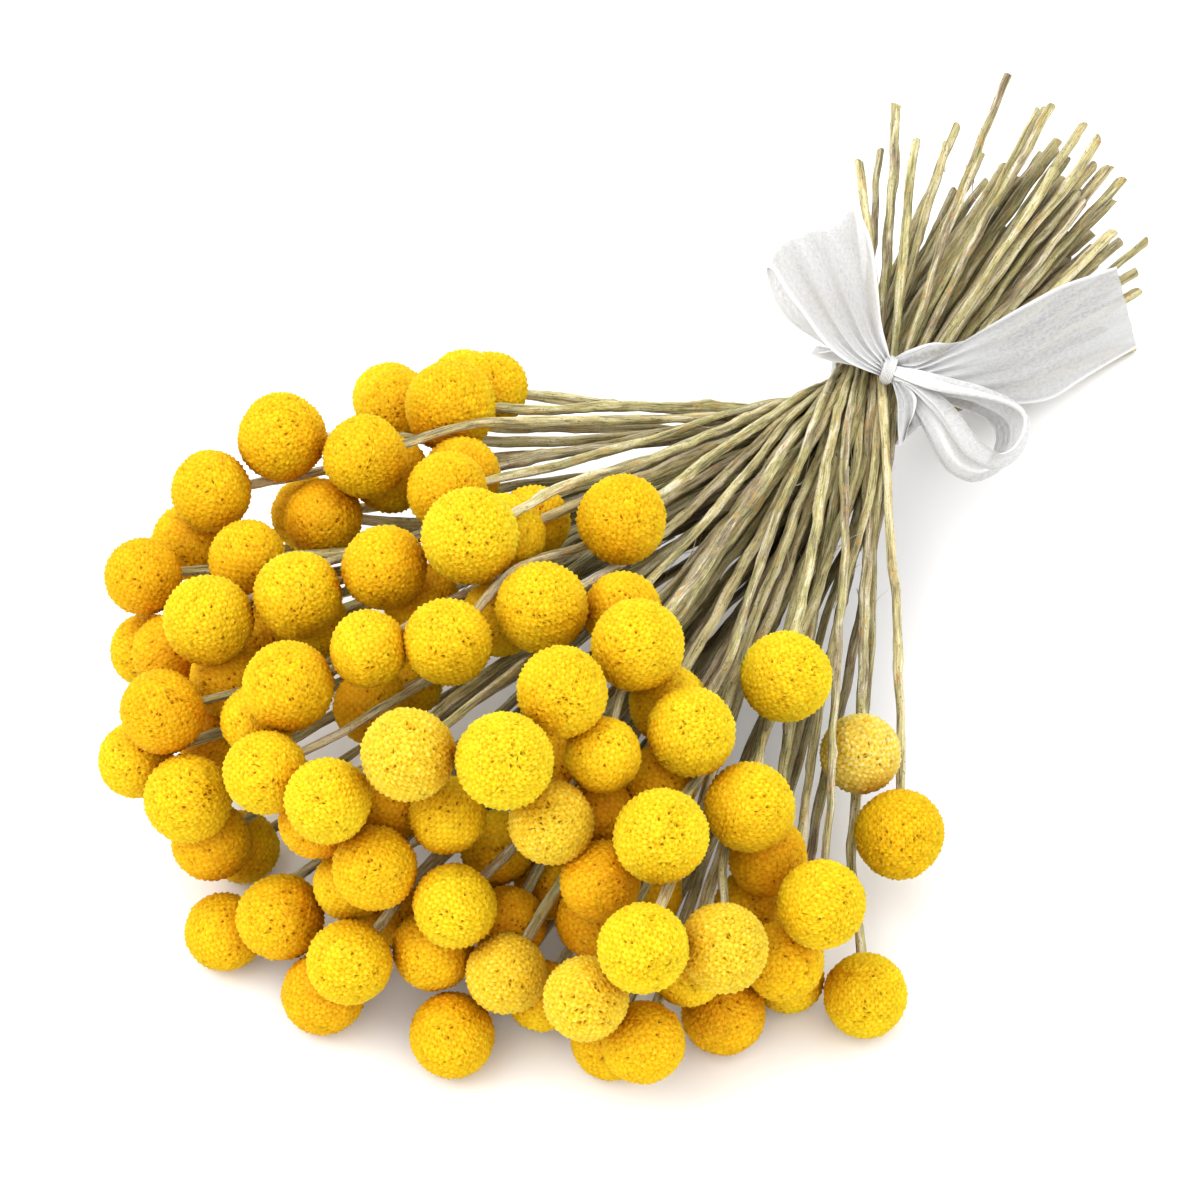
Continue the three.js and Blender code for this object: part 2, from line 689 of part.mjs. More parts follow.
const knotTurn = THREE.MathUtils.degToRad(KNOT_ANGLE);
const KNOT = WAIST.clone().add(
  new THREE.Vector3(
    KNOT_ALONG,
    KNOT_REACH * Math.cos(knotTurn),
    KNOT_REACH * Math.sin(knotTurn),
  ),
);

// A closed strip of even thickness through some stations, four corners at each
function stripSolid(stations) {
  const middles = stations.map(({ middle }) => sightVector(middle).add(KNOT));
  const points = stations.flatMap(({ toEdge }, i) => {
    const before = middles[Math.max(i - 1, 0)];
    const after = middles[Math.min(i + 1, middles.length - 1)];
    const edge = sightVector(toEdge);
    const facing = after.clone().sub(before).cross(edge).setLength(RIBBON_THICKNESS / 2);
    return [
      middles[i].clone().add(edge).add(facing),
      middles[i].clone().add(edge).sub(facing),
      middles[i].clone().sub(edge).sub(facing),
      middles[i].clone().sub(edge).add(facing),
    ];
  });
  const triangles = [];
  for (let i = 0; i < stations.length - 1; i += 1) {
    for (let corner = 0; corner < 4; corner += 1) {
      const here = 4 * i + corner;
      const next = 4 * i + ((corner + 1) % 4);
      triangles.push([here, here + 4, next], [next, here + 4, next + 4]);
    }
  }
  const last = 4 * (stations.length - 1);
  triangles.push([0, 1, 2], [0, 2, 3], [last, last + 2, last + 1], [last, last + 3, last + 2]);
  return solidOfTriangles(points, triangles);
}

function bandSolid() {
  const half = BAND_WIDTH / 2;
  const outline = [
    new THREE.Vector2(BAND_INSIDE, -half),
    new THREE.Vector2(BAND_OUTSIDE, -half),
    new THREE.Vector2(BAND_OUTSIDE, half),
    new THREE.Vector2(BAND_INSIDE, half),
    new THREE.Vector2(BAND_INSIDE, -half),
  ];
  const ring = new THREE.LatheGeometry(outline, BAND_SIDES);
  ring.rotateZ(Math.PI / 2);
  ring.rotateY(THREE.MathUtils.degToRad(-BAND_TILT));
  ring.rotateZ(THREE.MathUtils.degToRad(-BAND_TURN));
  return solidOf(ring.translate(WAIST.x, WAIST.y, WAIST.z));
}

function knotSolid() {
  const ball = new THREE.IcosahedronGeometry(0.5, 1);
  ball.scale(...KNOT_SIZE);
  const basis = new THREE.Matrix4().makeBasis(
    SIGHT_RIGHT,
    SIGHT_UP,
    SIGHT_FORWARD.clone().negate(),
  );
  return solidOf(ball.applyMatrix4(basis).translate(KNOT.x, KNOT.y, KNOT.z));
}

// The room that the tied stems take up, kept free of ribbon
function waistRoom() {
  const room = new THREE.CylinderGeometry(
    BAND_INSIDE,
    BAND_INSIDE,
    3 * BAND_WIDTH,
    BAND_SIDES,
  );
  return solidOf(room.rotateZ(Math.PI / 2).translate(WAIST.x, WAIST.y, WAIST.z));
}

function ribbonSolid() {
  return [LEFT_LOOP, RIGHT_LOOP, LONG_TAIL, SHORT_TAIL]
    .map(stripSolid)
    .reduce((joined, strip) => joined.add(strip), bandSolid().add(knotSolid()))
    .subtract(waistRoom());
}

// ---------------------------------------------------------------- assembly

const HEAD_CORNERS = headCorners();
const HEAD_TRIANGLES = hullTriangles(HEAD_CORNERS);

const random = randomFrom(SEED);
const heads = plannedHeads();
settle(heads);
shareSlots(heads);
routeStems(heads, random);
findMeetings(heads);

const bunch = new THREE.Group();

function addNode(name, solid, material) {
  const mesh = new THREE.Mesh(geometryOf(solid), material);
  mesh.name = name;
  bunch.add(mesh);
}

HEAD_GROUPS.forEach((rows, group) => {
  const members = heads.filter((head) => head.group === group);
  const name = `flower_heads_${String(group + 1).padStart(2, "0")}`;
  addNode(name, groupSolid(members, random), headMaterials[group % headMaterials.length]);
});
addNode("stems", stemsSolid(heads, random), stemMaterial);
addNode("ribbon", ribbonSolid(), ribbonMaterial);

// The origin is at the middle of the bunch's outline, on the surface
const outline = new THREE.Box3().setFromObject(bunch, true);
const middle = outline.getCenter(new THREE.Vector3());
bunch.position.set(-middle.x, -middle.y, -outline.min.z);

export default bunch;
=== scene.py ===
"""A tied bunch of dried billy buttons (Craspedia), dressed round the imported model.

The layout of heads, stems and bow follows the same steps as the part's source, in
millimetres with the tie at x = y = 0. Meshes are built from it and moved into the
frame's place. +X runs from the heads to the cut ends, +Z is up.
"""

import math
from types import SimpleNamespace

import bpy
import bmesh
import numpy as np
from mathutils import Matrix, Vector
from mathutils.kdtree import KDTree


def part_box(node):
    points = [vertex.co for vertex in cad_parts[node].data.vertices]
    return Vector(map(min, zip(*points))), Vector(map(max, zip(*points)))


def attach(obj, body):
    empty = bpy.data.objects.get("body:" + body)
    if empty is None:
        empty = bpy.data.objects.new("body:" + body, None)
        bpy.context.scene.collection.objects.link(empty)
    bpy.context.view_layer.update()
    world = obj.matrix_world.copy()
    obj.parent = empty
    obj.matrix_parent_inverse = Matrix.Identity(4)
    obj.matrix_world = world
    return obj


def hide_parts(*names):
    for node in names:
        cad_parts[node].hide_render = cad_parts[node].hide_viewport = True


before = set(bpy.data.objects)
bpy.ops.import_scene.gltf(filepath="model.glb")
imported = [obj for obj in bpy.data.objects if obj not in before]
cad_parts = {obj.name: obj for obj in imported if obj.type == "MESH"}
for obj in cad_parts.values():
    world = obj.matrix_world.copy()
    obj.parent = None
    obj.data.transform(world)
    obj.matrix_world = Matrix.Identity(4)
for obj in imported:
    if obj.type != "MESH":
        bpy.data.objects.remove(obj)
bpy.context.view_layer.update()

# ------------------ driving dimensions

MM = 0.001

WAIST_HEIGHT = 38
WAIST = np.array([0.0, 0.0, WAIST_HEIGHT])

# The onlooker's plane goes through the tie and faces the onlooker
ONLOOKER_AZIMUTH = math.radians(-56)
ONLOOKER_ELEVATION = math.radians(47)
ONLOOKER_DISTANCE = 1300
TIE_ACROSS = 83.4
TIE_UP = 61.5

# Flower heads as the onlooker sees them from the tie: across, up, height of the centre
# above the surface, diameter and tint, golden where none is named. Each row is one node:
# heads that press together.
HEAD_GROUPS = [
    [(-179, -13, 76, 25.7)],
    [(-154, -19, 84, 24.2), (-146, -25, 61, 23)],
    [(-200, -29, 72, 23.5), (-206, -44, 46, 23)],
    [(-189, -49, 66, 22.2)],
    [(-171, -37, 46, 22.5), (-166, -38, 63, 23, "amber")],
    [(-220, -55, 60, 22.5, "amber")],
    [(-201, -67, 80, 25.3, "bright"), (-194, -84, 54, 22), (-199.5, -103.5, 30, 22, "amber")],
    [(-174, -60, 82, 24.6, "bright"), (-170, -69, 57, 22, "bright"), (-186, -73.5, 41, 21)],
    [(-148, -52, 86, 24.1), (-137, -63, 62, 22)],
    [(-146, -1, 44, 22, "bright"), (-144, -4, 60, 24)],
    [(-128, -4, 76, 27), (-117, 1, 60, 22.9), (-125, 1, 43, 23, "bright")],
    [(-129, -29, 80, 23), (-126, -23, 65, 22.5, "amber")],
    [(-121.5, -46, 100, 27, "lemon"), (-110, -41, 86, 23, "bright"), (-102, -38, 70, 21)],
    [(-77, -38, 84, 25.5)],
    [(-100, -62, 97, 25.5, "bright"), (-116, -63, 72, 22, "bright")],
    [(-78, -66, 81, 22), (-72, -76, 94, 25.5, "bright")],
    [(-129, -74, 92, 24.3, "bright"), (-153, -76, 86, 21.5, "bright")],
    [(-141, -85, 50, 21), (-153, -94, 60, 21.5, "amber")],
    [(-177, -88, 84, 24.8), (-186, -97.5, 59, 21, "bright")],
    [(-219, -76.5, 34, 21.5), (-212, -77, 51, 21.5, "amber")],
    [(-214, -96, 68, 23.5, "amber"), (-222, -110, 44, 21.7, "bright")],
    [(-208, -119, 60, 24.4, "bright"), (-200, -134, 32, 22.3, "amber"), (-190, -135, 11, 21)],
    [(-181.5, -114, 68, 22.9, "bright"), (-165, -122, 76, 23.8, "lemon"),
     (-166, -128, 52, 21, "amber")],
    [(-141, -108, 88, 25.3, "pale")],
    [(-129, -127, 66, 21.6, "bright"), (-148, -124, 53, 21)],
    [(-112, -109.5, 90, 26, "lemon")],
    [(-97, -91, 92, 24.7, "bright"), (-82, -109, 76, 20.7, "bright")],
    [(-94.5, -110, 52, 21), (-84, -125, 52, 21, "amber"), (-68, -115, 55, 21)],
    [(-65, -94, 66, 22, "bright"), (-56, -103, 78, 24.7, "lemon")],
    [(-28, -85, 62, 25.5, "lemon")],
    [(-5, -108, 34, 22.8, "cream")],
    [(6, -132, 24, 25.4)],
    [(-39, -124.5, 62, 24.7, "bright"), (-34, -139, 38, 21.9, "amber"), (-38, -154, 14, 21)],
    [(-65, -133, 70, 25.3, "lemon")],
    [(-98, -128, 70, 23.4, "pale"), (-83, -146, 52, 22.4, "amber")],
    [(-151, -140, 57, 23.2), (-158, -149, 32, 20.5, "bright"), (-146, -155, 14, 21)],
    [(-196, -161, 12, 22.2), (-179, -157, 28, 24)],
    [(-157, -168, 35, 23.6, "bright"), (-167, -179, 13, 22.9, "amber")],
    [(-129, -152, 50, 22.9, "lemon"), (-132, -168, 23, 22.6)],
    [(-116, -137, 44, 21, "bright"), (-98, -146, 26, 20.5)],
    [(-109, -156, 32, 21, "amber"), (-112, -175, 34, 22.7, "pale"), (-101, -180, 13, 20, "bright")],
    [(-128, -191, 13, 23.5)],
    [(-88, -157, 30, 21, "amber"), (-73, -147, 34, 21)],
    [(-87, -181, 44, 23, "pale")],
    [(-80, -193.5, 12, 22.5), (-71, -194, 29, 22.5)],
    [(-70.5, -166.5, 54, 24.4, "lemon")],
    [(-58.5, -173, 28, 21, "bright"), (-47, -166, 48, 24.3, "pale")],
    [(-43, -183, 13, 23.4, "amber")],
    [(-30, -171, 32, 22.5), (-26, -177, 12, 20.5, "bright")],
    [(-17, -153, 44, 24.2, "bright")],
    [(-7, -179, 13, 23.7, "bright")],
]

# Tints of the florets: the slot of each, and its linear colour between tips and deep places
HEAD_TINTS = {
    "amber": ("florets_amber", (0.710, 0.415, 0.003)),
    "golden": ("florets_golden", (0.725, 0.465, 0.004)),
    "bright": ("florets_golden", (0.735, 0.520, 0.006)),
    "lemon": ("florets_lemon", (0.730, 0.550, 0.008)),
    "pale": ("florets_pale", (0.725, 0.530, 0.022)),
    "cream": ("florets_pale", (0.730, 0.580, 0.080)),
}

# How the heads lie in the pile
PRESS = 1.6
HEAD_GAP = 0.5
SEAT = 0.8
SEAT_REACH = 3
SETTLE_ROUNDS = 120
HELD_ROUNDS = 60
HOLD = 0.1
EAGERNESS = 0.35
VALLEY = 0.89

# How the stems lie
STEM_RADIUS = 1.6
TIED_RADIUS = 1.3
STEM_STEPS = 6
TIED = 1
LAST = TIED + STEM_STEPS
TAIL_LENGTH = 111
TAIL_SPREAD = 16
TAIL_NARROWING = 0.31
TAIL_LEAN = 0.04
SPLAY_START = 0.36
TAIL_SPLAY = 1.6
TAIL_SLANT = 30
STEM_CLEARANCE = 0.9
STEM_GAP = 0.35
ROUTE_ROUNDS = 200
BEND_EAGERNESS = 0.6
STIFFNESS = 0.03
GIVE = 0.1
STEM_SPACE = 0.1
FAR = 60
SPREAD_EAGERNESS = 0.3
ROUTE_HELD_ROUNDS = 160
STEP_CROWDING = 1.35
SLOT_PITCH = 2.72
BUNDLE_RADIUS = 14
SEED = 20

# ------------------ small helpers


def length_of(vectors):
    return np.linalg.norm(vectors, axis=-1)


def unit(vectors):
    return vectors / length_of(vectors)[..., None]


def mix(a, b, share):
    return a + (b - a) * share


def seeded(seed):
    """Random numbers from 0 to 1 that the part's source draws too (mulberry32)."""
    word = 0xFFFFFFFF
    state = seed

    def draw():
        nonlocal state
        state = (state + 0x6D2B79F5) & word
        mixed = ((state ^ (state >> 15)) * (1 | state)) & word
        mixed = ((mixed + ((mixed ^ (mixed >> 7)) * (61 | mixed) & word)) & word) ^ mixed
        return (mixed ^ (mixed >> 14)) / 2**32

    return draw


SIGHT_RIGHT = np.array([math.cos(ONLOOKER_AZIMUTH), math.sin(ONLOOKER_AZIMUTH), 0.0])
SIGHT_UP = np.array([
    -math.sin(ONLOOKER_AZIMUTH) * math.sin(ONLOOKER_ELEVATION),
    math.cos(ONLOOKER_AZIMUTH) * math.sin(ONLOOKER_ELEVATION),
    math.cos(ONLOOKER_ELEVATION),
])
SIGHT_FORWARD = np.cross(SIGHT_UP, SIGHT_RIGHT)
EYE = WAIST - ONLOOKER_DISTANCE * SIGHT_FORWARD - TIE_ACROSS * SIGHT_RIGHT - TIE_UP * SIGHT_UP


def place_seen_at(across, up, height):
    """The line of sight through a place in the onlooker's plane, met at a height."""
    ray = (
        ONLOOKER_DISTANCE * SIGHT_FORWARD
        + (across + TIE_ACROSS) * SIGHT_RIGHT
        + (up + TIE_UP) * SIGHT_UP
    )
    return EYE + ray * (height - EYE[2]) / ray[2]


# ------------------ layout: the pile of heads


def planned_heads():
    rows = [
        (group, place, *row, "golden")[:7]
        for group, members in enumerate(HEAD_GROUPS)
        for place, row in enumerate(members)
    ]
    centre = np.array([place_seen_at(*row[2:5]) for row in rows])
    radius = np.array([row[5] / 2 for row in rows])
    return SimpleNamespace(
        group=np.array([row[0] for row in rows]),
        place=np.array([row[1] for row in rows]),
        tint=[row[6] for row in rows],
        radius=radius,
        centre=centre,
        planned=centre.copy(),
        sight=unit(centre - EYE),
        seated=np.array([row[4] for row in rows]) < radius + SEAT_REACH,
    )


def plan_spacing(heads):
    """How far apart each two heads want to be, and which of them also draw each other in."""
    together = heads.group[:, None] == heads.group
    reach = heads.radius[:, None] + heads.radius
    heads.distance = reach + np.where(together, -PRESS, HEAD_GAP)
    heads.linked = together & (abs(heads.place[:, None] - heads.place) == 1)


def head_moves(heads):
    """Each pair that stands too close, or is grown together too loosely, mends its spacing."""
    apart = heads.centre - heads.centre[:, None]
    width = length_of(apart) + np.eye(len(apart))
    missing = heads.distance - width
    share = np.where((missing > 0) | heads.linked, EAGERNESS * missing / width, 0)
    return (share[:, :, None] * apart).sum(axis=0)


def move_heads(heads, moves):
    floor = heads.radius - SEAT
    heads.centre += moves
    heads.centre[heads.seated, 2] = floor[heads.seated]
    heads.centre[:, 2] = np.maximum(heads.centre[:, 2], floor)


def hold_heads(heads):
    drift = heads.centre - heads.planned
    drift -= (drift * heads.sight).sum(axis=1)[:, None] * heads.sight
    heads.centre -= HOLD * drift


def settle(heads):
    for turn in range(SETTLE_ROUNDS):
        moves = head_moves(heads)
        if turn < HELD_ROUNDS:
            hold_heads(heads)
        move_heads(heads, moves)


# ------------------ layout: the stems


def slot_rows(count):
    """Places of the stems in the tie, row by row from the top, packed like round rods."""
    row_height = (SLOT_PITCH * math.sqrt(3)) / 2
    half = math.ceil(BUNDLE_RADIUS / row_height)
    rows = []
    for row in range(half, -half - 1, -1):
        shift = 0 if row % 2 == 0 else SLOT_PITCH / 2
        z = row * row_height
        rows.append([(step * SLOT_PITCH + shift, z) for step in range(-half - 1, half + 2)])
    slots = [slot for row in rows for slot in row]
    slots.sort(key=lambda slot: (slot[0] * slot[0] + slot[1] * slot[1], -slot[1], slot[0]))
    kept = set(slots[:count])
    rows = [[slot for slot in row if slot in kept] for row in rows]
    return [row for row in rows if row]


def share_slots(heads):
    """The florist's spiral: layer by layer over the tie, so that no two stems cross in it."""
    sideways = heads.centre[:, 1] / -heads.centre[:, 0]
    rise = (heads.centre[:, 2] - WAIST_HEIGHT) / -heads.centre[:, 0]
    in_turn = sorted(range(len(sideways)), key=lambda head: sideways[head])
    heads.slot = np.zeros_like(heads.centre)
    for row in slot_rows(len(in_turn)):
        layer = sorted(in_turn[: len(row)], key=lambda head: rise[head])
        in_turn = in_turn[len(row):]
        for head, (y, z) in zip(layer, row):
            heads.slot[head] = (0, y, WAIST_HEIGHT + z)


def stem_ends(heads, before):
    reach = VALLEY * heads.radius + STEM_GAP
    return heads.centre - unit(heads.centre - before) * reach[:, None]


def start_routes(heads, draw):
    ends = stem_ends(heads, heads.slot)
    fan = heads.slot - ends
    lean = fan[:, 1] / fan[:, 0]
    splay = TAIL_SPLAY * np.maximum(lean - SPLAY_START, 0)
    tail_lean = TAIL_NARROWING * lean + TAIL_LEAN + splay
    fan[:, 1] = tail_lean * fan[:, 0]
    tails = np.array([TAIL_LENGTH + TAIL_SPREAD * (2 * draw() - 1) for _ in heads.radius])
    tails -= TAIL_SLANT * np.maximum(tail_lean, 0)
    cut_ends = heads.slot + unit(fan) * tails[:, None]
    shares = 1 - (1 - np.arange(STEM_STEPS + 1) / STEM_STEPS) ** STEP_CROWDING
    steps = [mix(heads.slot, ends, share) for share in shares]
    heads.route = np.stack([cut_ends, *steps], axis=1)


def pass_heads(heads, bends, moves):
    """A stem that passes a head too closely bends away, and the head gives way a little."""
    start = heads.route[:, TIED:LAST, None]
    along = heads.route[:, TIED + 1 :, None] - start
    share = ((heads.centre - start) * along).sum(-1) / (along * along).sum(-1)
    share = np.clip(share, 0, 1)[..., None]
    away = start + along * share - heads.centre
    width = length_of(away)
    missing = heads.radius + STEM_RADIUS + STEM_CLEARANCE - width
    own = np.eye(len(heads.radius), dtype=bool)[:, None]
    missing[(missing < 0) | own] = 0
    away *= (missing / width)[..., None]
    bends[:, TIED:LAST] += BEND_EAGERNESS * (away * (1 - share)).sum(axis=2)
    bends[:, TIED + 1 :] += BEND_EAGERNESS * (away * share).sum(axis=2)
    moves -= GIVE * away.sum(axis=(0, 1))


def shares_nearest(a, b, c, d):
    """Where the stretches a-b and c-d come nearest to each other, as shares of their lengths."""
    first, second, between = b - a, d - c, a - c
    first_square = (first * first).sum(-1)
    second_square = (second * second).sum(-1)
    mixed = (first * second).sum(-1)
    on_first = (first * between).sum(-1)
    on_second = (second * between).sum(-1)
    spread = np.maximum(first_square * second_square - mixed * mixed, 1e-9)
    start = np.clip((mixed * on_second - second_square * on_first) / spread, 0, 1)
    t = np.clip((mixed * start + on_second) / second_square, 0, 1)
    return np.clip((mixed * t - on_first) / first_square, 0, 1), t


def spread_stems(heads, bends):
    """The same stretch of two stems keeps a stem's width apart."""
    radii = np.full(LAST + 1, float(STEM_RADIUS))
    radii[TIED] = TIED_RADIUS
    first, second = np.triu_indices(len(heads.radius), 1)
    for step in range(LAST):
        y = heads.route[:, step : step + 2, 1]
        close = (abs(y[first] - y[second]) <= FAR).any(axis=1)
        i, j = first[close], second[close]
        a, b = heads.route[i, step], heads.route[i, step + 1]
        c, d = heads.route[j, step], heads.route[j, step + 1]
        s, t = (share[:, None] for share in shares_nearest(a, b, c, d))
        apart = mix(c, d, t) - mix(a, b, s)
        width = length_of(apart)[:, None]
        wanted = mix(radii[step], radii[step + 1], s) + mix(radii[step], radii[step + 1], t)
        missing = np.maximum(wanted + STEM_SPACE - width, 0)
        apart *= SPREAD_EAGERNESS * missing / width
        np.add.at(bends, (i, step), apart * (s - 1))
        np.add.at(bends, (i, step + 1), -apart * s)
        np.add.at(bends, (j, step), apart * (1 - t))
        np.add.at(bends, (j, step + 1), apart * t)


def move_stems(heads, bends):
    route = heads.route
    bends[:, TIED] = 0
    route[:, :LAST] += bends[:, :LAST]
    route[:, :LAST, 2] = np.maximum(route[:, :LAST, 2], STEM_RADIUS)
    route[:, LAST] = stem_ends(heads, route[:, LAST - 1])


def route_stems(heads, draw):
    start_routes(heads, draw)
    for turn in range(ROUTE_ROUNDS):
        moves = head_moves(heads)
        bends = np.zeros_like(heads.route)
        pass_heads(heads, bends, moves)
        spread_stems(heads, bends)
        middle = (heads.route[:, :-2] + heads.route[:, 2:]) / 2
        bends[:, 1:-1] += STIFFNESS * (middle - heads.route[:, 1:-1])
        if turn < ROUTE_HELD_ROUNDS:
            hold_heads(heads)
        move_heads(heads, moves)
        move_stems(heads, bends)

# ------------------ from layout to meshes

HEAD_NODES = [f"flower_heads_{group + 1:02d}" for group in range(len(HEAD_GROUPS))]
LIFT = 0.1  # clear space above the surface
STEM_OFFSET = 40  # between the texture places of one stem and the next, so that no two look alike
SHEET_OFFSET = 50  # and between those of one sheet of cloth and the next


def find_shift(heads):
    """From the layout's place to the frame's, by the nodes that hold a single head."""
    shifts = []
    for group, node in enumerate(HEAD_NODES):
        members = np.flatnonzero(heads.group == group)
        if len(members) == 1:
            low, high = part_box(node)
            shifts.append(np.array((low + high) / 2) / MM - heads.centre[members[0]])
    shift = np.mean(shifts, axis=0)
    shift[2] = 0
    return shift


heads = planned_heads()
plan_spacing(heads)
settle(heads)
share_slots(heads)
route_stems(heads, seeded(SEED))
SHIFT = find_shift(heads)


def add_to_scene(name, data):
    made = bpy.data.objects.new(name, data)
    bpy.context.scene.collection.objects.link(made)
    return made


def make_piece(name, points, faces, material, nodes, attributes):
    """A smooth mesh piece that stands for some CAD nodes.

    Its points are a grid of places in the layout's millimetres. Each attribute has a number
    or a place for every point, or less that spreads over the grid."""
    mesh = bpy.data.meshes.new(name)
    mesh.from_pydata(((points.reshape(-1, 3) + SHIFT) * MM).tolist(), [], faces.tolist())
    mesh.shade_smooth()
    for label, values in attributes.items():
        if values.ndim == points.ndim:
            kind, field, shape = "FLOAT_VECTOR", "vector", points.shape
        else:
            kind, field, shape = "FLOAT", "value", points.shape[:-1]
        made = mesh.attributes.new(label, kind, "POINT")
        made.data.foreach_set(field, np.broadcast_to(values, shape).astype(np.float32).ravel())
    mesh.materials.append(material)
    piece = add_to_scene(name, mesh)
    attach(piece, "root")
    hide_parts(*nodes)
    return piece


def texture_places(*coordinates):
    """Places for a texture from their three coordinates, each spread over the whole grid."""
    return np.stack(np.broadcast_arrays(*coordinates), axis=-1)


def lengths_along(points):
    """How far along its line each point lies, for lines of shape (..., count, 3)."""
    steps = length_of(np.diff(points, axis=-2))
    return np.concatenate([np.zeros_like(steps[..., :1]), np.cumsum(steps, axis=-1)], axis=-1)


def smooth_curve(points, samples):
    """Points evenly along a smooth curve through the given ones, for one line or for several."""
    if points.ndim > 2:
        return np.stack([smooth_curve(line, samples) for line in points])
    at = lengths_along(points)
    slopes = np.gradient(points, axis=0) / np.gradient(at)[:, None]
    wanted = np.linspace(0, 1, samples) * at[-1]
    span = np.clip(np.searchsorted(at, wanted, "right") - 1, 0, len(at) - 2)
    width = np.diff(at)[span, None]
    t = (wanted - at[span])[:, None] / width
    rise = t * t * (3 - 2 * t)
    return (
        mix(points[span], points[span + 1], rise)
        + t * (1 - t) ** 2 * width * slopes[span]
        - t * t * (1 - t) * width * slopes[span + 1]
    )


def waves(random, places, sizes):
    """A smooth random wave along each row of places; the sizes are wavelengths and heights."""
    total = np.zeros_like(places)
    for wavelength, height in sizes:
        phase = random.uniform(0, 2 * math.pi, places.shape[:-1] + (1,))
        share = random.uniform(0.4, 1, places.shape[:-1] + (1,))
        total += height * share * np.sin(2 * math.pi * places / wavelength + phase)
    return total


def grid_faces(rows, columns, closed):
    """Triangles between rows of points; closed rows join their last point to their first."""
    here = np.arange((rows - 1) * columns).reshape(rows - 1, columns)
    side = np.roll(here, -1, axis=1)
    if not closed:
        here, side = here[:, :-1], side[:, :-1]
    corners = [here, side, side + columns, here, side + columns, here + columns]
    return np.stack(corners, axis=-1).reshape(-1, 3)


def repeated_faces(faces, count, size):
    """The same faces for each of several shapes that have this size in points."""
    return (faces + size * np.arange(count)[:, None, None]).reshape(-1, 3)


def tube_frames(lines):
    """Two directions across each point of some lines, carried along without twist."""
    along = unit(np.gradient(lines, axis=1))
    side = np.zeros_like(lines)
    before = np.tile([0.0, 0.0, 1.0], (len(lines), 1))
    for step in range(lines.shape[1]):
        before = before - (before * along[:, step]).sum(-1)[:, None] * along[:, step]
        before = unit(before)
        side[:, step] = before
    return side, np.cross(along, side)


def ring_angles(sides):
    return 2 * math.pi * np.arange(sides) / sides


def tube_points(lines, frames, reach, angle):
    """Rings of points round some lines, at a reach from them and an angle for each side."""
    side, other = frames
    out = side[:, :, None] * np.cos(angle)[:, None] + other[:, :, None] * np.sin(angle)[:, None]
    return lines[:, :, None] + reach[..., None] * out


# ------------------ materials


def grey(value):
    return (value, value, value)


class Look:
    """A material with short ways to make its nodes, from sockets, numbers and linear colours."""

    def __init__(self, name, roughness, specular):
        self.material = bpy.data.materials.new(name)
        self.material.use_nodes = True
        self.nodes = self.material.node_tree.nodes
        self.surface = self.nodes["Principled BSDF"]
        self.set(self.surface, {"Roughness": roughness, "Specular IOR Level": specular})

    def set(self, node, inputs):
        for label, value in inputs.items():
            socket = node.inputs[label]
            if isinstance(value, bpy.types.NodeSocket):
                self.material.node_tree.links.new(value, socket)
            elif socket.type == "RGBA":
                socket.default_value = (*value, 1)
            else:
                socket.default_value = value

    def node(self, kind, inputs, **settings):
        node = self.nodes.new(f"ShaderNode{kind}")
        for label, value in settings.items():
            setattr(node, label, value)
        self.set(node, inputs)
        return node

    def attribute(self, label, output="Fac"):
        return self.node("Attribute", {}, attribute_name=label).outputs[output]

    def noise(self, places, scale=1.0, detail=3.0, roughness=0.55):
        inputs = {"Vector": places, "Scale": scale, "Detail": detail, "Roughness": roughness}
        return self.node("TexNoise", inputs).outputs["Fac"]

    def stretched_noise(self, places, scales, **kind):
        """Noise that changes at its own rate along each axis of the places."""
        mapping = self.node("Mapping", {"Vector": places, "Scale": scales})
        return self.noise(mapping.outputs["Vector"], **kind)

    def ramp(self, value, stops):
        """A colour for each value between stops, each of which is a value and its colour."""
        node = self.node("ValToRGB", {"Fac": value})
        elements = node.color_ramp.elements
        while len(elements) < len(stops):
            elements.new(0.5)
        for element, (place, colour) in zip(elements, stops):
            element.position = place
            element.color = (*colour, 1)
        return node.outputs["Color"]

    def mix(self, share, first, second, blend="MIX"):
        inputs = {0: share, 6: first, 7: second}
        return self.node("Mix", inputs, data_type="RGBA", blend_type=blend).outputs[2]

    def times(self, colour, other):
        return self.mix(1.0, colour, other, "MULTIPLY")

    def math(self, operation, first, second, clamp=False):
        inputs = {0: first, 1: second}
        return self.node("Math", inputs, operation=operation, use_clamp=clamp).outputs[0]

    def ranged(self, value, low, high, new_low=0.0, new_high=1.0):
        """A value carried over from one range to another, and kept inside it."""
        inputs = {"Value": value, "From Min": low, "From Max": high,
                  "To Min": new_low, "To Max": new_high}
        return self.node("MapRange", inputs).outputs["Result"]

    def completed(self, colour, height, distance, strength=1.0):
        """The material, once its surface has its colour and bumps of a height in metres."""
        bump = self.node("Bump", {"Strength": strength, "Distance": distance, "Height": height})
        self.set(self.surface, {"Base Color": colour, "Normal": bump.outputs["Normal"]})
        return self.material


# ------------------ flower heads

FLORET_DENSITY = 4.1  # florets on a head for its radius squared
JITTER = 0.13  # of the space between florets

# Heights on a head, as shares of its radius
FLORET_SWELL = 0.042  # from a floret's edge to its tip
CORNER_DROP = 0.088  # from the corners between three florets to their tips
PIT_DROP = 0.06  # how much deeper some corners are
PROUD = 0.007  # how unevenly the florets stand out
RAISED = 0.015  # how much further some of them do
SUNK = 0.03  # and how much less others do
LUMP = 0.012  # how lumpy the whole head is
FOOT_DIMPLE = 0.1
FOOT_REACH = 0.3  # the dimple's size where the stem goes in, as an angle

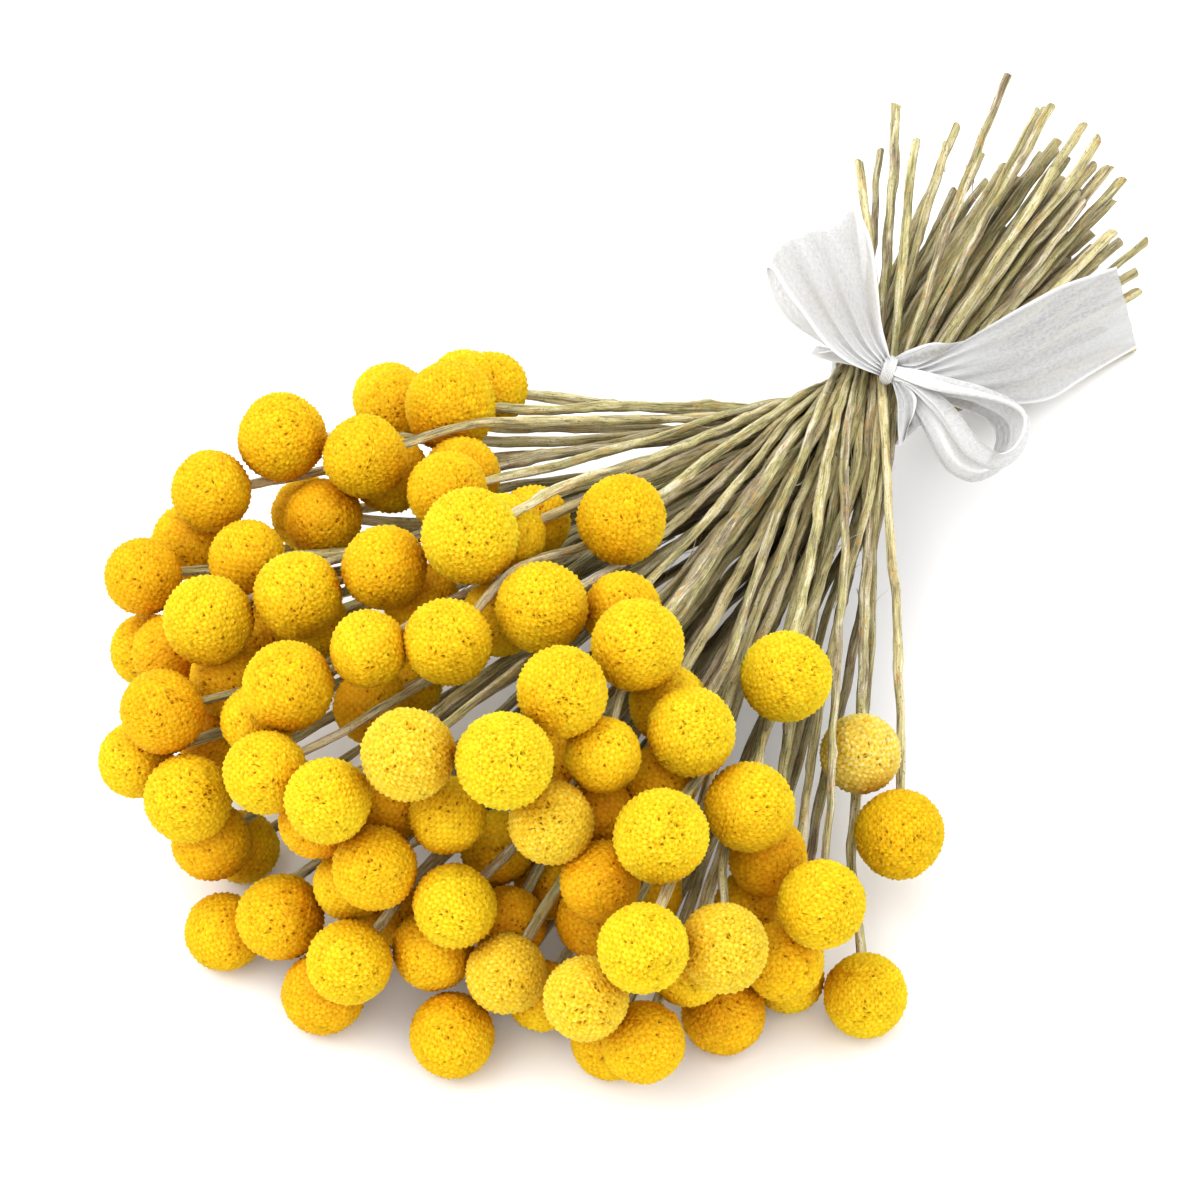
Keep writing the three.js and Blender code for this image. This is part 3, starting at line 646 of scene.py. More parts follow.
# How many of the corners are deeper, and how many florets stand out more or less, as shares
PITS = 0.07
RAISED_FLORETS = 0.06
SUNK_FLORETS = 0.05

# The relief of a place, from 0, deep, to 1, picks its colour
TIP_RELIEF = 0.86
EDGE_RELIEF = 0.60
CORNER_RELIEF = 0.36

# Colours beside the head's own, from the deepest place to the highest: darker and more orange
# deeper down, partly as painted shade, and paler at the tips with a painted highlight at the crests
PIT_SHARE = np.array([0.26, 0.13, 0.05])
DEEP_SHARE = np.array([0.90, 0.60, 0.10])
TIP_SHARE = np.array([1.06, 1.14, 3.5])
CREST_HIGHLIGHT_SHARE = np.array([1.12, 1.30, 12.0])
# Painted shade: the share of each colour a floret keeps where other heads and the ground would
# shade it, and how far and how strongly that shade reaches
PAINTED_SHADE_SHARE = (0.92, 0.66, 0.30)

PAINTED_SHADE_REACH = 45  # heads whose middles are further away than this add no painted shade
GROUND_PAINTED_SHADE = 0.25
PAINTED_SHADE_STRENGTH = 1.1
TUBE_SCALE = 1000.0  # tubes of the florets to a metre
PATCH_SCALE = 110.0
HEAD_SEED = 5
GOLDEN_TURN = math.pi * (3 - math.sqrt(5))


def floret_material(tint):
    """Dry florets: pale at their tips, orange in between, dark in the pits, partly as painted
    highlight and shade, and with painted shade where other heads and the ground would shade them.
    """
    own = np.array(HEAD_TINTS[tint][1])
    look = Look(f"florets_{tint}", roughness=0.7, specular=0.12)
    places = look.node("TexCoord", {}).outputs["Object"]
    patches = look.noise(places, PATCH_SCALE)
    tubes = look.node("TexVoronoi", {"Vector": places, "Scale": TUBE_SCALE}).outputs["Distance"]
    relief = look.math("ADD", look.attribute("relief"),
                       look.ranged(tubes, 0.1, 0.7, 0.05, -0.08))
    # Partly painted shade deep between the florets, and a painted highlight on their crests
    colour = look.ramp(relief, [
        (0.00, tuple(PIT_SHARE * own)),
        (0.32, tuple(DEEP_SHARE * own)),
        (0.60, tuple(own)),
        (0.82, tuple(TIP_SHARE * own)),
        (1.00, tuple(CREST_HIGHLIGHT_SHARE * own)),
    ])
    # Painted shade: florets darker and more orange where other heads and the ground would shade
    # them
    painted_shade = look.mix(look.attribute("painted_shade"), grey(1.0), PAINTED_SHADE_SHARE)
    shade = look.math("ADD", look.ranged(patches, 0.35, 0.7, -0.07, 0.05),
                      look.ranged(look.attribute("shade"), 0.0, 1.0, 0.9, 1.1))
    colour = look.times(look.times(colour, painted_shade), shade)
    return look.completed(colour, look.math("SUBTRACT", 1.0, tubes), 0.0003, 0.5)


def spiral_ball(count):
    """Directions spread evenly over a ball."""
    step = np.arange(count) + 0.5
    z = 1 - 2 * step / count
    ring = np.sqrt(1 - z * z)
    turn = step * GOLDEN_TURN
    return np.stack([ring * np.cos(turn), ring * np.sin(turn), z], axis=1)


def hull_triangles(points):
    """The triangles of the hull round some points on a ball."""
    mesh = bmesh.new()
    for point in points:
        mesh.verts.new(point)
    mesh.verts.index_update()
    bmesh.ops.convex_hull(mesh, input=mesh.verts[:])
    bmesh.ops.triangulate(mesh, faces=mesh.faces[:])
    bmesh.ops.recalc_face_normals(mesh, faces=mesh.faces[:])
    triangles = np.array([[vert.index for vert in face.verts] for face in mesh.faces])
    mesh.free()
    return triangles


def floret_pattern(count):
    """Tips on a ball, the edges and corners where florets meet, and the faces between them.

    Points are numbered tips first, then the middles of the edges, then the corners."""
    ball = spiral_ball(count)
    triangles = hull_triangles(ball)
    sides = np.concatenate([triangles[:, [0, 1]], triangles[:, [1, 2]], triangles[:, [2, 0]]])
    edges, number = np.unique(np.sort(sides, axis=1), axis=0, return_inverse=True)
    number = number.reshape(3, -1)
    corners = count + len(edges) + np.arange(len(triangles))
    faces = []
    for turn in range(3):
        tip = triangles[:, turn]
        faces.append(np.stack([tip, count + number[turn], corners], axis=1))
        faces.append(np.stack([tip, corners, count + number[turn - 1]], axis=1))
    return ball, triangles, edges, np.concatenate(faces)


def random_turn(random):
    turn, _ = np.linalg.qr(random.normal(size=(3, 3)))
    return turn * np.sign(np.linalg.det(turn))


def head_mesh(radius, foot, random):
    """One head's points from its centre and faces, with the relief and shade of its points."""
    count = round(FLORET_DENSITY * radius**2)
    ball, triangles, edges, faces = floret_pattern(count)
    space = math.sqrt(4 * math.pi / count)
    tips = unit(ball @ random_turn(random).T + random.normal(0, JITTER * space, ball.shape))
    proud = random.normal(0, PROUD, count)
    proud[random.random(count) < RAISED_FLORETS] += RAISED
    proud[random.random(count) < SUNK_FLORETS] -= SUNK
    tip_relief = np.clip(TIP_RELIEF + 5 * proud + random.normal(0, 0.06, count), 0, 1)
    extra_swell = random.uniform(-0.004, 0.01, len(edges))
    extra_drop = random.uniform(-0.012, 0.012, len(triangles))
    pit = random.random(len(triangles)) < PITS
    extra_drop[pit] += PIT_DROP
    middles = unit(tips[edges].sum(axis=1))
    corners = unit(tips[triangles].sum(axis=1))
    directions = np.concatenate([tips, middles, corners])
    heights = 1 + np.concatenate([
        proud,
        proud[edges].mean(axis=1) - FLORET_SWELL - extra_swell,
        proud[triangles].mean(axis=1) - CORNER_DROP - extra_drop,
    ])
    for _ in range(3):
        wave = directions @ random.normal(0, 1.5, 3) + random.uniform(0, 6)
        heights += LUMP * np.sin(wave)
    to_foot = np.arccos(np.clip(directions @ foot, -1, 1))
    heights -= FOOT_DIMPLE * np.exp(-((to_foot / FOOT_REACH) ** 2))
    relief = np.concatenate([
        tip_relief,
        np.clip(EDGE_RELIEF - 10 * extra_swell, 0, 1),
        np.where(pit, 0.0, np.clip(CORNER_RELIEF - 8 * extra_drop, 0, 1)),
    ])
    shade = np.full(len(directions), 0.5)
    shade[:count] = random.random(count)
    return directions * (radius * heights)[:, None], faces, relief, shade


def painted_shade_at(points, normals, centre, heads):
    """How far other heads and the ground close off the view from a head's skin, from 0 to 1, which
    sets the painted shade on its colour.
    """
    away = length_of(heads.centre - centre)
    near = (away < PAINTED_SHADE_REACH) & (away > 1)
    closed = GROUND_PAINTED_SHADE * np.clip(-normals[:, 2], 0, 1)
    for middle, radius in zip(heads.centre[near], heads.radius[near]):
        way = middle - points
        far = np.maximum(length_of(way), radius)
        closed += np.clip((way * normals).sum(-1) / far, 0, 1) * (radius / far) ** 2
    return np.clip(PAINTED_SHADE_STRENGTH * closed, 0, 1)


def placed_head(heads, head, random):
    """One head in its place: its points, its faces, and its points' relief, shade and painted
    shade.
    """
    centre = heads.centre[head]
    foot = unit(heads.route[head, LAST - 1] - centre)
    shape, faces, relief, shade = head_mesh(heads.radius[head], foot, random)
    points = shape + centre
    painted_shade = painted_shade_at(points, unit(shape), centre, heads)
    points[:, 2] = np.maximum(points[:, 2], LIFT)
    return points, faces, relief, shade, painted_shade


def build_heads(heads):
    random = np.random.default_rng(HEAD_SEED)
    materials = {tint: floret_material(tint) for tint in HEAD_TINTS}
    for group, node in enumerate(HEAD_NODES):
        members = np.flatnonzero(heads.group == group)
        parts = zip(*[placed_head(heads, head, random) for head in members])
        points, faces, relief, shade, painted_shade = parts
        starts = np.cumsum([0, *map(len, points)])
        tints = [heads.tint[head] for head in members]
        piece = make_piece(
            f"billy_buttons_{group + 1:02d}", np.concatenate(points),
            np.concatenate([own + start for own, start in zip(faces, starts)]),
            materials[tints[0]], [node],
            {"relief": np.concatenate(relief), "shade": np.concatenate(shade),
             "painted_shade": np.concatenate(painted_shade)},
        )
        for tint in tints[1:]:
            piece.data.materials.append(materials[tint])
        numbers = [np.full(len(own), number) for number, own in enumerate(faces)]
        piece.data.polygons.foreach_set("material_index", np.concatenate(numbers))


build_heads(heads)

# ------------------ stems

STEM_SEED = 9
STEM_SIDES = 9
STEM_SAMPLES = 108
STEM_WIDTH = 1.42  # radius of a usual stem
STEM_SINK = 0.12  # how far a stem goes into its head, as a share of the way to its middle
STEM_CROOKS = ((110, 0.6), (47, 0.3), (19, 0.16))
STEM_SWELLS = ((80, 0.05), (33, 0.05))
FREE_FROM_TIE = 40  # from here outward a stem is as crooked as it likes
FREE_FROM_HEAD = 25
LEAST_FREEDOM = 0.12
TIE_REACH = 12  # pressed thinner this near to the tie
PRESSED = 0.88
KNOBS = 9  # scars of leaves on each stem
KNOB_SIZE = 0.5
KNOB_REACH = 2.2
STEM_SHADE_REACH = 5  # stems that lie further aside than this add hardly any painted shade to each other
STEM_SHADE_RATE = 0.22
PAINTED_STEM_SHADE_SHARE = (0.32, 0.27, 0.17)  # painted shade: how much of its colour a stem keeps deep in the bunch
STAIN = (0.500, 0.285, 0.080)
# Pale fibres, which also give a painted highlight on the stems' ridges
PALE_FIBRES_AND_HIGHLIGHT = (0.760, 0.700, 0.540)
SPECK = (0.060, 0.040, 0.020)


def stem_material():
    """Dried stems: ridged lengthwise, olive to straw and brown, with dark specks, painted shade and
    painted highlights.
    """
    look = Look("dried_stem", roughness=0.65, specular=0.4)
    place = look.attribute("stem_place", "Vector")
    fibres = look.stretched_noise(place, (2.3, 2.3, 0.11), detail=4.0, roughness=0.7)
    patches = look.stretched_noise(place, (0.3, 0.3, 0.06))
    spots = look.stretched_noise(place, (0.45, 0.45, 0.16), detail=4.0, roughness=0.7)
    specks = look.stretched_noise(place, (1.7, 1.7, 0.8), roughness=0.75)
    tone = look.math("ADD", look.attribute("tone"), look.ranged(patches, 0.3, 0.7, -0.2, 0.2))
    colour = look.ramp(tone, [
        (0.00, (0.300, 0.205, 0.105)),
        (0.14, (0.410, 0.340, 0.190)),
        (0.30, (0.450, 0.405, 0.155)),
        (0.50, (0.560, 0.495, 0.210)),
        (0.70, (0.630, 0.550, 0.260)),
        (0.86, (0.680, 0.560, 0.260)),
        (1.00, (0.610, 0.500, 0.340)),
    ])
    # Streaks: partly the stems' own grain, partly painted shade in the grooves and a painted
    # highlight on the ridges
    lines = look.math("ADD", fibres,
                      look.ranged(look.attribute("ridge"), -1.0, 1.0, -0.12, 0.12))
    streaks = look.ramp(lines, [
        (0.30, grey(0.25)), (0.42, grey(0.64)), (0.54, grey(1.0)), (0.78, grey(1.0)),
    ])
    colour = look.times(colour, streaks)
    colour = look.mix(look.ranged(spots, 0.55, 0.66, 0.0, 0.75), colour, STAIN)
    # Pale where the lines run high: partly bleached fibres, partly a painted highlight on the
    # ridges
    colour = look.mix(look.ranged(lines, 0.58, 0.66, 0.0, 0.8), colour, PALE_FIBRES_AND_HIGHLIGHT)
    colour = look.mix(look.ranged(specks, 0.60, 0.64, 0.0, 0.8), colour, SPECK)
    # Painted shade where other stems lie over a stem
    colour = look.times(colour, look.mix(look.attribute("painted_stem_shade"), grey(1.0), PAINTED_STEM_SHADE_SHARE))
    rough = look.math("ADD", fibres, look.math("MULTIPLY", specks, 0.5))
    return look.completed(colour, rough, 0.0006)


def stem_lines(heads, random):
    """Centre lines of the stems: a little crooked, and their ends sunk into the heads."""
    route = heads.route.copy()
    route[:, LAST] = mix(route[:, LAST], heads.centre, STEM_SINK)
    lines = smooth_curve(route, STEM_SAMPLES)
    at = lengths_along(lines)
    from_tie = np.clip(abs(lines[:, :, 0]) / FREE_FROM_TIE, LEAST_FREEDOM, 1)
    free = from_tie * np.clip((at[:, -1:] - at) / FREE_FROM_HEAD, 0, 1)
    for direction in tube_frames(lines):
        drift = waves(random, at, STEM_CROOKS)
        lines += direction * (drift * free)[:, :, None]
    lines[:, :, 2] = np.maximum(lines[:, :, 2], STEM_RADIUS)
    return lines, at


def painted_stem_shade_at(lines):
    """How deep each place of the stems lies under other stems, from 0 to 1, which sets the painted
    shade on its colour.
    """
    total = np.zeros(lines.shape[:2])
    others = lines[:, ::2]
    for number, line in enumerate(lines):
        way = np.delete(others, number, axis=0).reshape(-1, 3) - line[:, None]
        beside = (way[..., 0] ** 2 + way[..., 1] ** 2) / STEM_SHADE_REACH**2
        above = np.clip(way[..., 2] / STEM_RADIUS - 0.5, 0, 1)
        total[number] = (np.exp(-beside) * above).sum(axis=1)
    return 1 - np.exp(-STEM_SHADE_RATE * total)


def drawn_out(values, reach):
    """Random values made to change slowly along a stem, which is axis 1."""
    kernel = np.ones(reach) / math.sqrt(reach)
    return np.apply_along_axis(lambda row: np.convolve(row, kernel, "same"), 1, values)


def stem_knobs(random, count, at, angle):
    """Swellings at leaf scars: how far each point of a stem's skin stands out."""
    total = np.zeros((count, STEM_SAMPLES, STEM_SIDES))
    for _ in range(KNOBS):
        where = random.uniform(0, 1, (count, 1)) * at[:, -1:]
        turn = random.uniform(0, 2 * math.pi, (count, 1, 1))
        size = random.uniform(0, KNOB_SIZE, (count, 1, 1))
        along = np.exp(-(((at - where) / KNOB_REACH) ** 2))[:, :, None]
        total += size * along * np.clip(np.cos(angle - turn), 0, 1) ** 2
    return total


def build_stems(heads, material):
    random = np.random.default_rng(STEM_SEED)
    lines, at = stem_lines(heads, random)
    frames = tube_frames(lines)
    count = len(lines)
    angle = ring_angles(STEM_SIDES)
    cos, sin = np.cos(angle), np.sin(angle)
    width = STEM_WIDTH * random.uniform(0.82, 1.12, (count, 1))
    width = width * (1 + waves(random, at, STEM_SWELLS))
    width = width * np.where(abs(lines[:, :, 0]) < TIE_REACH, PRESSED, 1.0)
    ridge = drawn_out(random.normal(0, 1, (count, STEM_SAMPLES, STEM_SIDES)), 7)
    ridge = np.clip(ridge, -2, 2)
    profile = 1 + 0.09 * ridge + random.normal(0, 0.03, ridge.shape)
    profile += stem_knobs(random, count, at, angle)
    points = tube_points(lines, frames, width[:, :, None] * profile, angle)
    slant = random.normal(0, 0.6, (count, 1)) * cos + random.normal(0, 0.6, (count, 1)) * sin
    along = unit(lines[:, 1] - lines[:, 0])
    points[:, 0] += along[:, None] * slant[:, :, None]
    points[..., 2] = np.maximum(points[..., 2], LIFT)
    place = texture_places(1.5 * cos + STEM_OFFSET * np.arange(count)[:, None, None],
                           1.5 * sin, at[:, :, None])
    tone = random.uniform(0.08, 0.92, (count, 1, 1))
    tube = grid_faces(STEM_SAMPLES, STEM_SIDES, closed=True)
    cap = np.array([(0, i + 1, i) for i in range(1, STEM_SIDES - 1)])
    faces = repeated_faces(np.concatenate([tube, cap]), count, STEM_SAMPLES * STEM_SIDES)
    make_piece(
        "dried_stems", points, faces, material, ["stems"],
        {"stem_place": place, "tone": tone, "ridge": ridge,
         "painted_stem_shade": painted_stem_shade_at(lines)[:, :, None]},
    )
    return lines


STEM_MATERIAL = stem_material()
STEM_LINES = build_stems(heads, STEM_MATERIAL)

# ------------------ loose fibres on the stems

FIBRES = 420
FIBRE_SEED = 12
FIBRE_SAMPLES = 6
FIBRE_SIDES = 3
FIBRE_START = 1.35  # from the middle of a stem
LEAST_FIBRE_HEIGHT = 0.6


def build_fibres(lines, material):
    """Thin strands that peel off the stems, most of them near the tie."""
    random = np.random.default_rng(FIBRE_SEED)
    side, other = tube_frames(lines)
    stem = random.integers(0, len(lines), FIBRES)
    step = np.clip(random.normal(42, 19, FIBRES), 4, STEM_SAMPLES - 16).astype(int)
    start = lines[stem, step]
    along = unit(lines[stem, step + 1] - start) * random.choice([-1, 1], FIBRES)[:, None]
    angle = random.uniform(0, 2 * math.pi, FIBRES)[:, None]
    out = side[stem, step] * np.cos(angle) + other[stem, step] * np.sin(angle)
    sideways = np.cross(along, out)
    size = random.uniform(4, 16, FIBRES)[:, None]
    curl = random.uniform(0.05, 0.5, FIBRES)[:, None]
    drift = random.normal(0, 0.25, FIBRES)[:, None]
    share = np.linspace(0, 1, FIBRE_SAMPLES)
    reached = share[:, None, None]
    strands = (
        start + FIBRE_START * out
        + along * size * reached
        + (out * curl + sideways * drift) * size * reached**2
    ).transpose(1, 0, 2)
    strands[..., 2] = np.maximum(strands[..., 2], LEAST_FIBRE_HEIGHT)
    width = random.uniform(0.13, 0.34, (FIBRES, 1)) * np.linspace(1, 0.35, FIBRE_SAMPLES)
    turn = ring_angles(FIBRE_SIDES)
    points = tube_points(strands, tube_frames(strands), width[:, :, None], turn)
    tube = grid_faces(FIBRE_SAMPLES, FIBRE_SIDES, closed=True)
    place = texture_places(STEM_OFFSET * stem[:, None, None], np.cos(turn),
                           (size * share)[..., None])
    tone = random.uniform(0.7, 1.0, (FIBRES, 1, 1))
    make_piece(
        "stem_fibres", points, repeated_faces(tube, FIBRES, FIBRE_SAMPLES * FIBRE_SIDES),
        material, ["stems"],
        {"stem_place": place, "tone": tone, "ridge": np.ones(1), "painted_stem_shade": np.zeros(1)},
    )


build_fibres(STEM_LINES, STEM_MATERIAL)

# ------------------ ribbon

RIBBON_WIDTH = 39
NARROW_WIDTH = 10  # flat width of the knot and of the folds round it
CLOTH_COLUMNS = 61
KNOT_COLUMNS = 33
SELVEDGE = 1.0  # width of the ribbon's denser edges
GATHER_LENGTH = 15  # the fine gathers at the knot fade out over this length
CREASE_WIDTH = 0.05  # as a share of half the ribbon's width
CREST_REACH = 14  # a loop's uneven crest evens out over this length
CLOTH_CLEARANCE = 1.9  # between the cloth and the centre lines of the stems under it
SHEER_CLOTH = grey(0.41)
DENSE_CLOTH = grey(0.62)
BAND_SAMPLES = 97
BAND_HALF_REACH = 5  # stems this near to the tie's middle plane hold the band
BAND_HALF_WIDTH = 2.2
BAND_TIGHTNESS = 0.96  # its folds go no nearer to the middle than this share of its own way
BAND_TILT = math.radians(10)
BAND_TURN = math.radians(12)
KNOT_SAMPLES = 49
KNOT_ANGLE = math.radians(109)
KNOT_REACH = 20.8
KNOT_ALONG = -7
KNOT_LAYERS = 6
KNOT_HEIGHT = 4.4
KNOT_DEPTH = 3.6
KNOT_HALF_WIDTH = 1.9
KNOT_CROWN = 0.22
KNOT = WAIST + np.array([
    KNOT_ALONG,
    KNOT_REACH * math.cos(KNOT_ANGLE),
    KNOT_REACH * math.sin(KNOT_ANGLE),
])
BOW_BASIS = np.array([SIGHT_RIGHT, SIGHT_UP, -SIGHT_FORWARD])

# Stations of the bow from the knot as the onlooker sees them, each as across, up and toward
# the onlooker: the middle of the ribbon's width, and from there to one edge.
LEFT_LOOP = [
    (0, 0, 0, 1.2, 2, 0),
    (-7, 7.6, 4, 4.8, 4.6, 3),
    (-12, 16.5, 8, 8.1, 6.3, 7),
    (-16.6, 27.5, 10, 10.1, 8.8, 10),
    (-20.4, 35.7, 8, 11.1, 9, 12),
    (-23, 40, 3, 11.8, 7.3, 13),
    (-24, 39, -3, 12.9, 6.8, 12.5),
    (-21, 29, -8, 12.2, 7.3, 11),
    (-16, 18.8, -7, 9.6, 5.9, 9),
    (-8.7, 8.7, -5, 5.4, 3.9, 5),
    (-1, 1, -2, 2, 2, 1),
]
# How much further out its crest lies than the stations say, from one edge to the other
LEFT_CREST = (-3.2, 0.4, 1.0, 0.2, -1.6, -2.6, -0.8)
RIGHT_LOOP = [
    (1, -0.6, 0, -0.4, -0.4, -2),
    (10.5, -3.7, 5, -1.2, -0.3, -6),
    (19, -6.4, 9, -2.4, -0.9, -11),
    (25.4, -8.6, 11, -2.6, -1.2, -13),
    (32.6, -12, 12, -2.8, -1.4, -14),
    (35.8, -16, 12, -2.9, -1.6, -14),
    (35.4, -21.4, 12, -2.9, -2, -14),
    (33, -26.6, 12, -3, -2.4, -14),
    (29.4, -29.8, 12, -3.6, -2.9, -14),
    (25.6, -30.6, 12, -4.2, -3.3, -14),
    (20.4, -27.6, 12, -4.6, -3.4, -13),
    (17.4, -23.2, 11, -4.6, -2.8, -12),
    (14.6, -17.8, 9, -4.2, -2.9, -10),
    (11.2, -11.8, 6, -3.3, -2.6, -7),
    (6.4, -5.2, 2, -1.5, -1.5, -3),
    (1.5, -2, 0, -0.5, -0.5, -1.5),
]
LONG_TAIL = [
    (1, 0, 0, 0.2, 2, 0),
    (8.6, -2, 1, -0.4, 3.5, 1),
    (18.5, -1.2, 2, -1, 7.2, 2),
    (32.3, 1.5, 3, -2.2, 11.7, 4),
    (43.5, 5.3, 3, -3.6, 14, 5),
    (53, 10.4, 2, -4, 13.6, 6),
    (62, 14.6, 0, -4, 12.6, 7),
    (71, 18.5, -3, -4, 11.6, 8),
]
SHORT_TAIL = [
    (-1.5, 0.3, 0, 0.6, 1.2, 1),
    (-8, 3, -3, 0.9, 1.5, 2),
    (-14, 5.1, -6, 1.2, 1.8, 3),
    (-21, 6.3, -9, 1.5, 0.6, 2),
]
UNDER_TAIL = [  # the other tail, which runs under the long one
    (2, 1.6, -1, -0.4, 1.6, -1.5),
    (7, 3.2, -1, -1, 2.6, -3),
    (14.6, 5.6, -2, -1.4, 2.6, -3),
    (20.7, 6.4, -4, -1.2, 1.5, -2),
    (26, 7.6, -6, -0.9, 0.6, -0.5),
]
WEDGE = [  # a corner of the gathered band that hangs out below the knot
    (2.2, -3, 1, 0.9, 0.3, 1),
    (4.9, -9, 5, 2.6, 0.9, 1.5),
    (4.9, -13.8, 6, 2.2, 0.9, 1.5),
    (4.3, -18, 5, 1.1, 0.5, 0.8),
    (4.1, -21.8, 3, 0.3, 0.1, 0.3),
]


STEM_TREE = KDTree(STEM_LINES.size // 3)
for number, place in enumerate(STEM_LINES.reshape(-1, 3).tolist()):
    STEM_TREE.insert(place, number)
STEM_TREE.balance()


def organza_material():
    """Sheer white cloth: a fine uneven weave, long soft streaks and denser selvedges."""
    look = Look("organza", roughness=0.45, specular=0.35)
    place = look.attribute("cloth_place", "Vector")
    layers = look.attribute("layers")
    selvedge = look.attribute("selvedge")
    weave = look.stretched_noise(place, (1.0, 0.7, 1), roughness=0.7)
    streaks = look.stretched_noise(place, (0.4, 0.025, 1), roughness=0.6)
    thin = look.math("ADD", look.ranged(weave, 0.32, 0.66, 0.42, 0.08),
                     look.ranged(streaks, 0.35, 0.7, 0.06, -0.10))
    cover = look.math("SUBTRACT", 1.0, look.math("POWER", thin, layers))
    cover = look.math("ADD", cover, look.math("MULTIPLY", selvedge, 0.35), clamp=True)
    look.set(look.surface, {"Alpha": cover, "Sheen Weight": 0.25})
    dense = look.math("MAXIMUM", selvedge, look.ranged(layers, 1.4, 4.0), clamp=True)
    colour = look.mix(dense, SHEER_CLOTH, DENSE_CLOTH)
    # Painted shade and light on the pleats: a little darker in their valleys and lighter on their
    # crests
    colour = look.times(colour, look.ranged(look.attribute("painted_pleat_shade"), -1.0, 1.0, 0.97, 1.03))
    # Painted light: cloth that stands clear of the stems is brightened as if light came through it
    # from behind
    colour = look.times(colour, look.attribute("painted_light"))
    height = look.math("ADD", streaks, look.math("MULTIPLY", weave, 0.4))
    return look.completed(colour, height, 0.0006, 0.6)


def lay_on_stems(points):
    """Cloth that would sink into the stems is lifted off them, toward the onlooker and up."""
    lift = unit(-SIGHT_FORWARD + np.array([0, 0, 0.6]))
    rows = points.reshape(-1, 3)
    for _ in range(4):
        near = np.array([STEM_TREE.find(place)[0] for place in rows.tolist()])
        missing = CLOTH_CLEARANCE - length_of(rows - near)
        rows += lift * np.clip(missing, 0, None)[:, None]


def pleated(lines, edges, from_knot, seed, width=RIBBON_WIDTH, columns=CLOTH_COLUMNS,
            gathers=6, soft_pleats=2.2, softness=1.0, crease_at=None):
    """A strip of cloth along a line, from the middles of its width and the way to one edge.

    Where it is narrower than its flat width it lies in fine gathers near the knot and in
    a few soft pleats away from it. Returns its points, their attributes and its length."""
    random = np.random.default_rng(seed)
    half = length_of(edges)
    facing = unit(np.cross(np.gradient(lines, axis=0), edges))
    slack = np.sqrt(2 * np.maximum(width**2 - (2 * half) ** 2, 0)) / (2 * math.pi)
    tight = np.exp(-((from_knot / GATHER_LENGTH) ** 2))
    t = np.linspace(-1, 1, columns)
    at = lengths_along(lines)
    bend = t + 0.12 * np.sin(2.1 * t + seed)
    fine = (slack * np.sqrt(tight) / gathers)[:, None]
    soft = (softness * slack * np.sqrt(1 - tight) / soft_pleats)[:, None]
    fine_wave = np.sin(math.pi * gathers * bend + seed)
    soft_wave = np.sin(math.pi * soft_pleats * bend + 0.012 * at[:, None] + 2 * seed)
    ripple = waves(random, np.tile(at, (3, 1)), ((45, 0.5), (23, 0.25)))
    sag = sum(ripple[i][:, None] * np.cos(i * math.pi * t / 2) for i in range(3))
    lifted = fine * fine_wave + soft * soft_wave + sag * np.clip(half / 15, 0, 1)[:, None]
    points = lines[:, None] + edges[:, None] * t[:, None] + facing[:, None] * lifted[..., None]
    selvedge = np.clip(1.6 - width / 2 * (1 - abs(t)) / SELVEDGE, 0, 1)
    if crease_at:
        crease = np.exp(-(((t - crease_at) / CREASE_WIDTH) ** 2))
        selvedge = np.maximum(selvedge, 0.8 * crease)
    return points, {
        "cloth_place": texture_places(t * width / 2, at[:, None], SHEET_OFFSET * seed),
        "painted_pleat_shade": mix(soft_wave, fine_wave, tight[:, None]),
        "layers": np.broadcast_to((width / (2 * half))[:, None], lifted.shape),
        "selvedge": np.broadcast_to(selvedge, lifted.shape),
    }, at[-1]


def cloth_piece(name, points, attributes, painted_light, closed=False):
    """A sheet of ribbon.

    Cloth that stands clear of the stems would take light through from behind, so its colour is
    brightened as painted light."""
    rows, columns = points.shape[:2]
    attributes["painted_light"] = np.full((rows, columns), painted_light)
    faces = grid_faces(rows, columns, closed=False)
    if closed:
        last = (rows - 1) * columns
        faces = np.where(faces >= last, faces - last, faces)
        points = points[:-1]
        attributes = {label: values[:-1] for label, values in attributes.items()}
    piece = make_piece(name, points, faces, ORGANZA, ["ribbon"], attributes)


def bow_strip(name, stations, samples, seed, painted_light, width=RIBBON_WIDTH, loop=False,
              crest_shape=None, density=1.0, **folds):
    """A loop or a tail of the bow: gathered at the knot and spread out away from it."""
    stations = np.array(stations, float)
    middles = KNOT + stations[:, :3] @ BOW_BASIS
    edges = stations[:, 3:] @ BOW_BASIS
    curve = smooth_curve(np.concatenate([middles, edges], axis=1), samples)
    lines, edges = curve[:, :3], curve[:, 3:]
    at = lengths_along(lines)
    from_knot = np.minimum(at, at[-1] - at) if loop else at
    points, attributes, length = pleated(lines, edges, from_knot, seed, width, **folds)
    attributes["layers"] = density * attributes["layers"]
    if crest_shape:
        across = np.linspace(-1, 1, CLOTH_COLUMNS)
        rise = np.interp(across, np.linspace(-1, 1, len(crest_shape)), crest_shape)
        top = np.argmax(from_knot)
        share = np.exp(-(((at - at[top]) / CREST_REACH) ** 2))
        points += share[:, None, None] * rise[:, None] * unit(lines[top] - KNOT)
    lay_on_stems(points)
    cloth_piece(name, points, attributes, painted_light)


def ring(angles, centre, start, across):
    """Points round a centre, from the direction start towards the direction across."""
    return centre + np.cos(angles)[:, None] * start + np.sin(angles)[:, None] * across


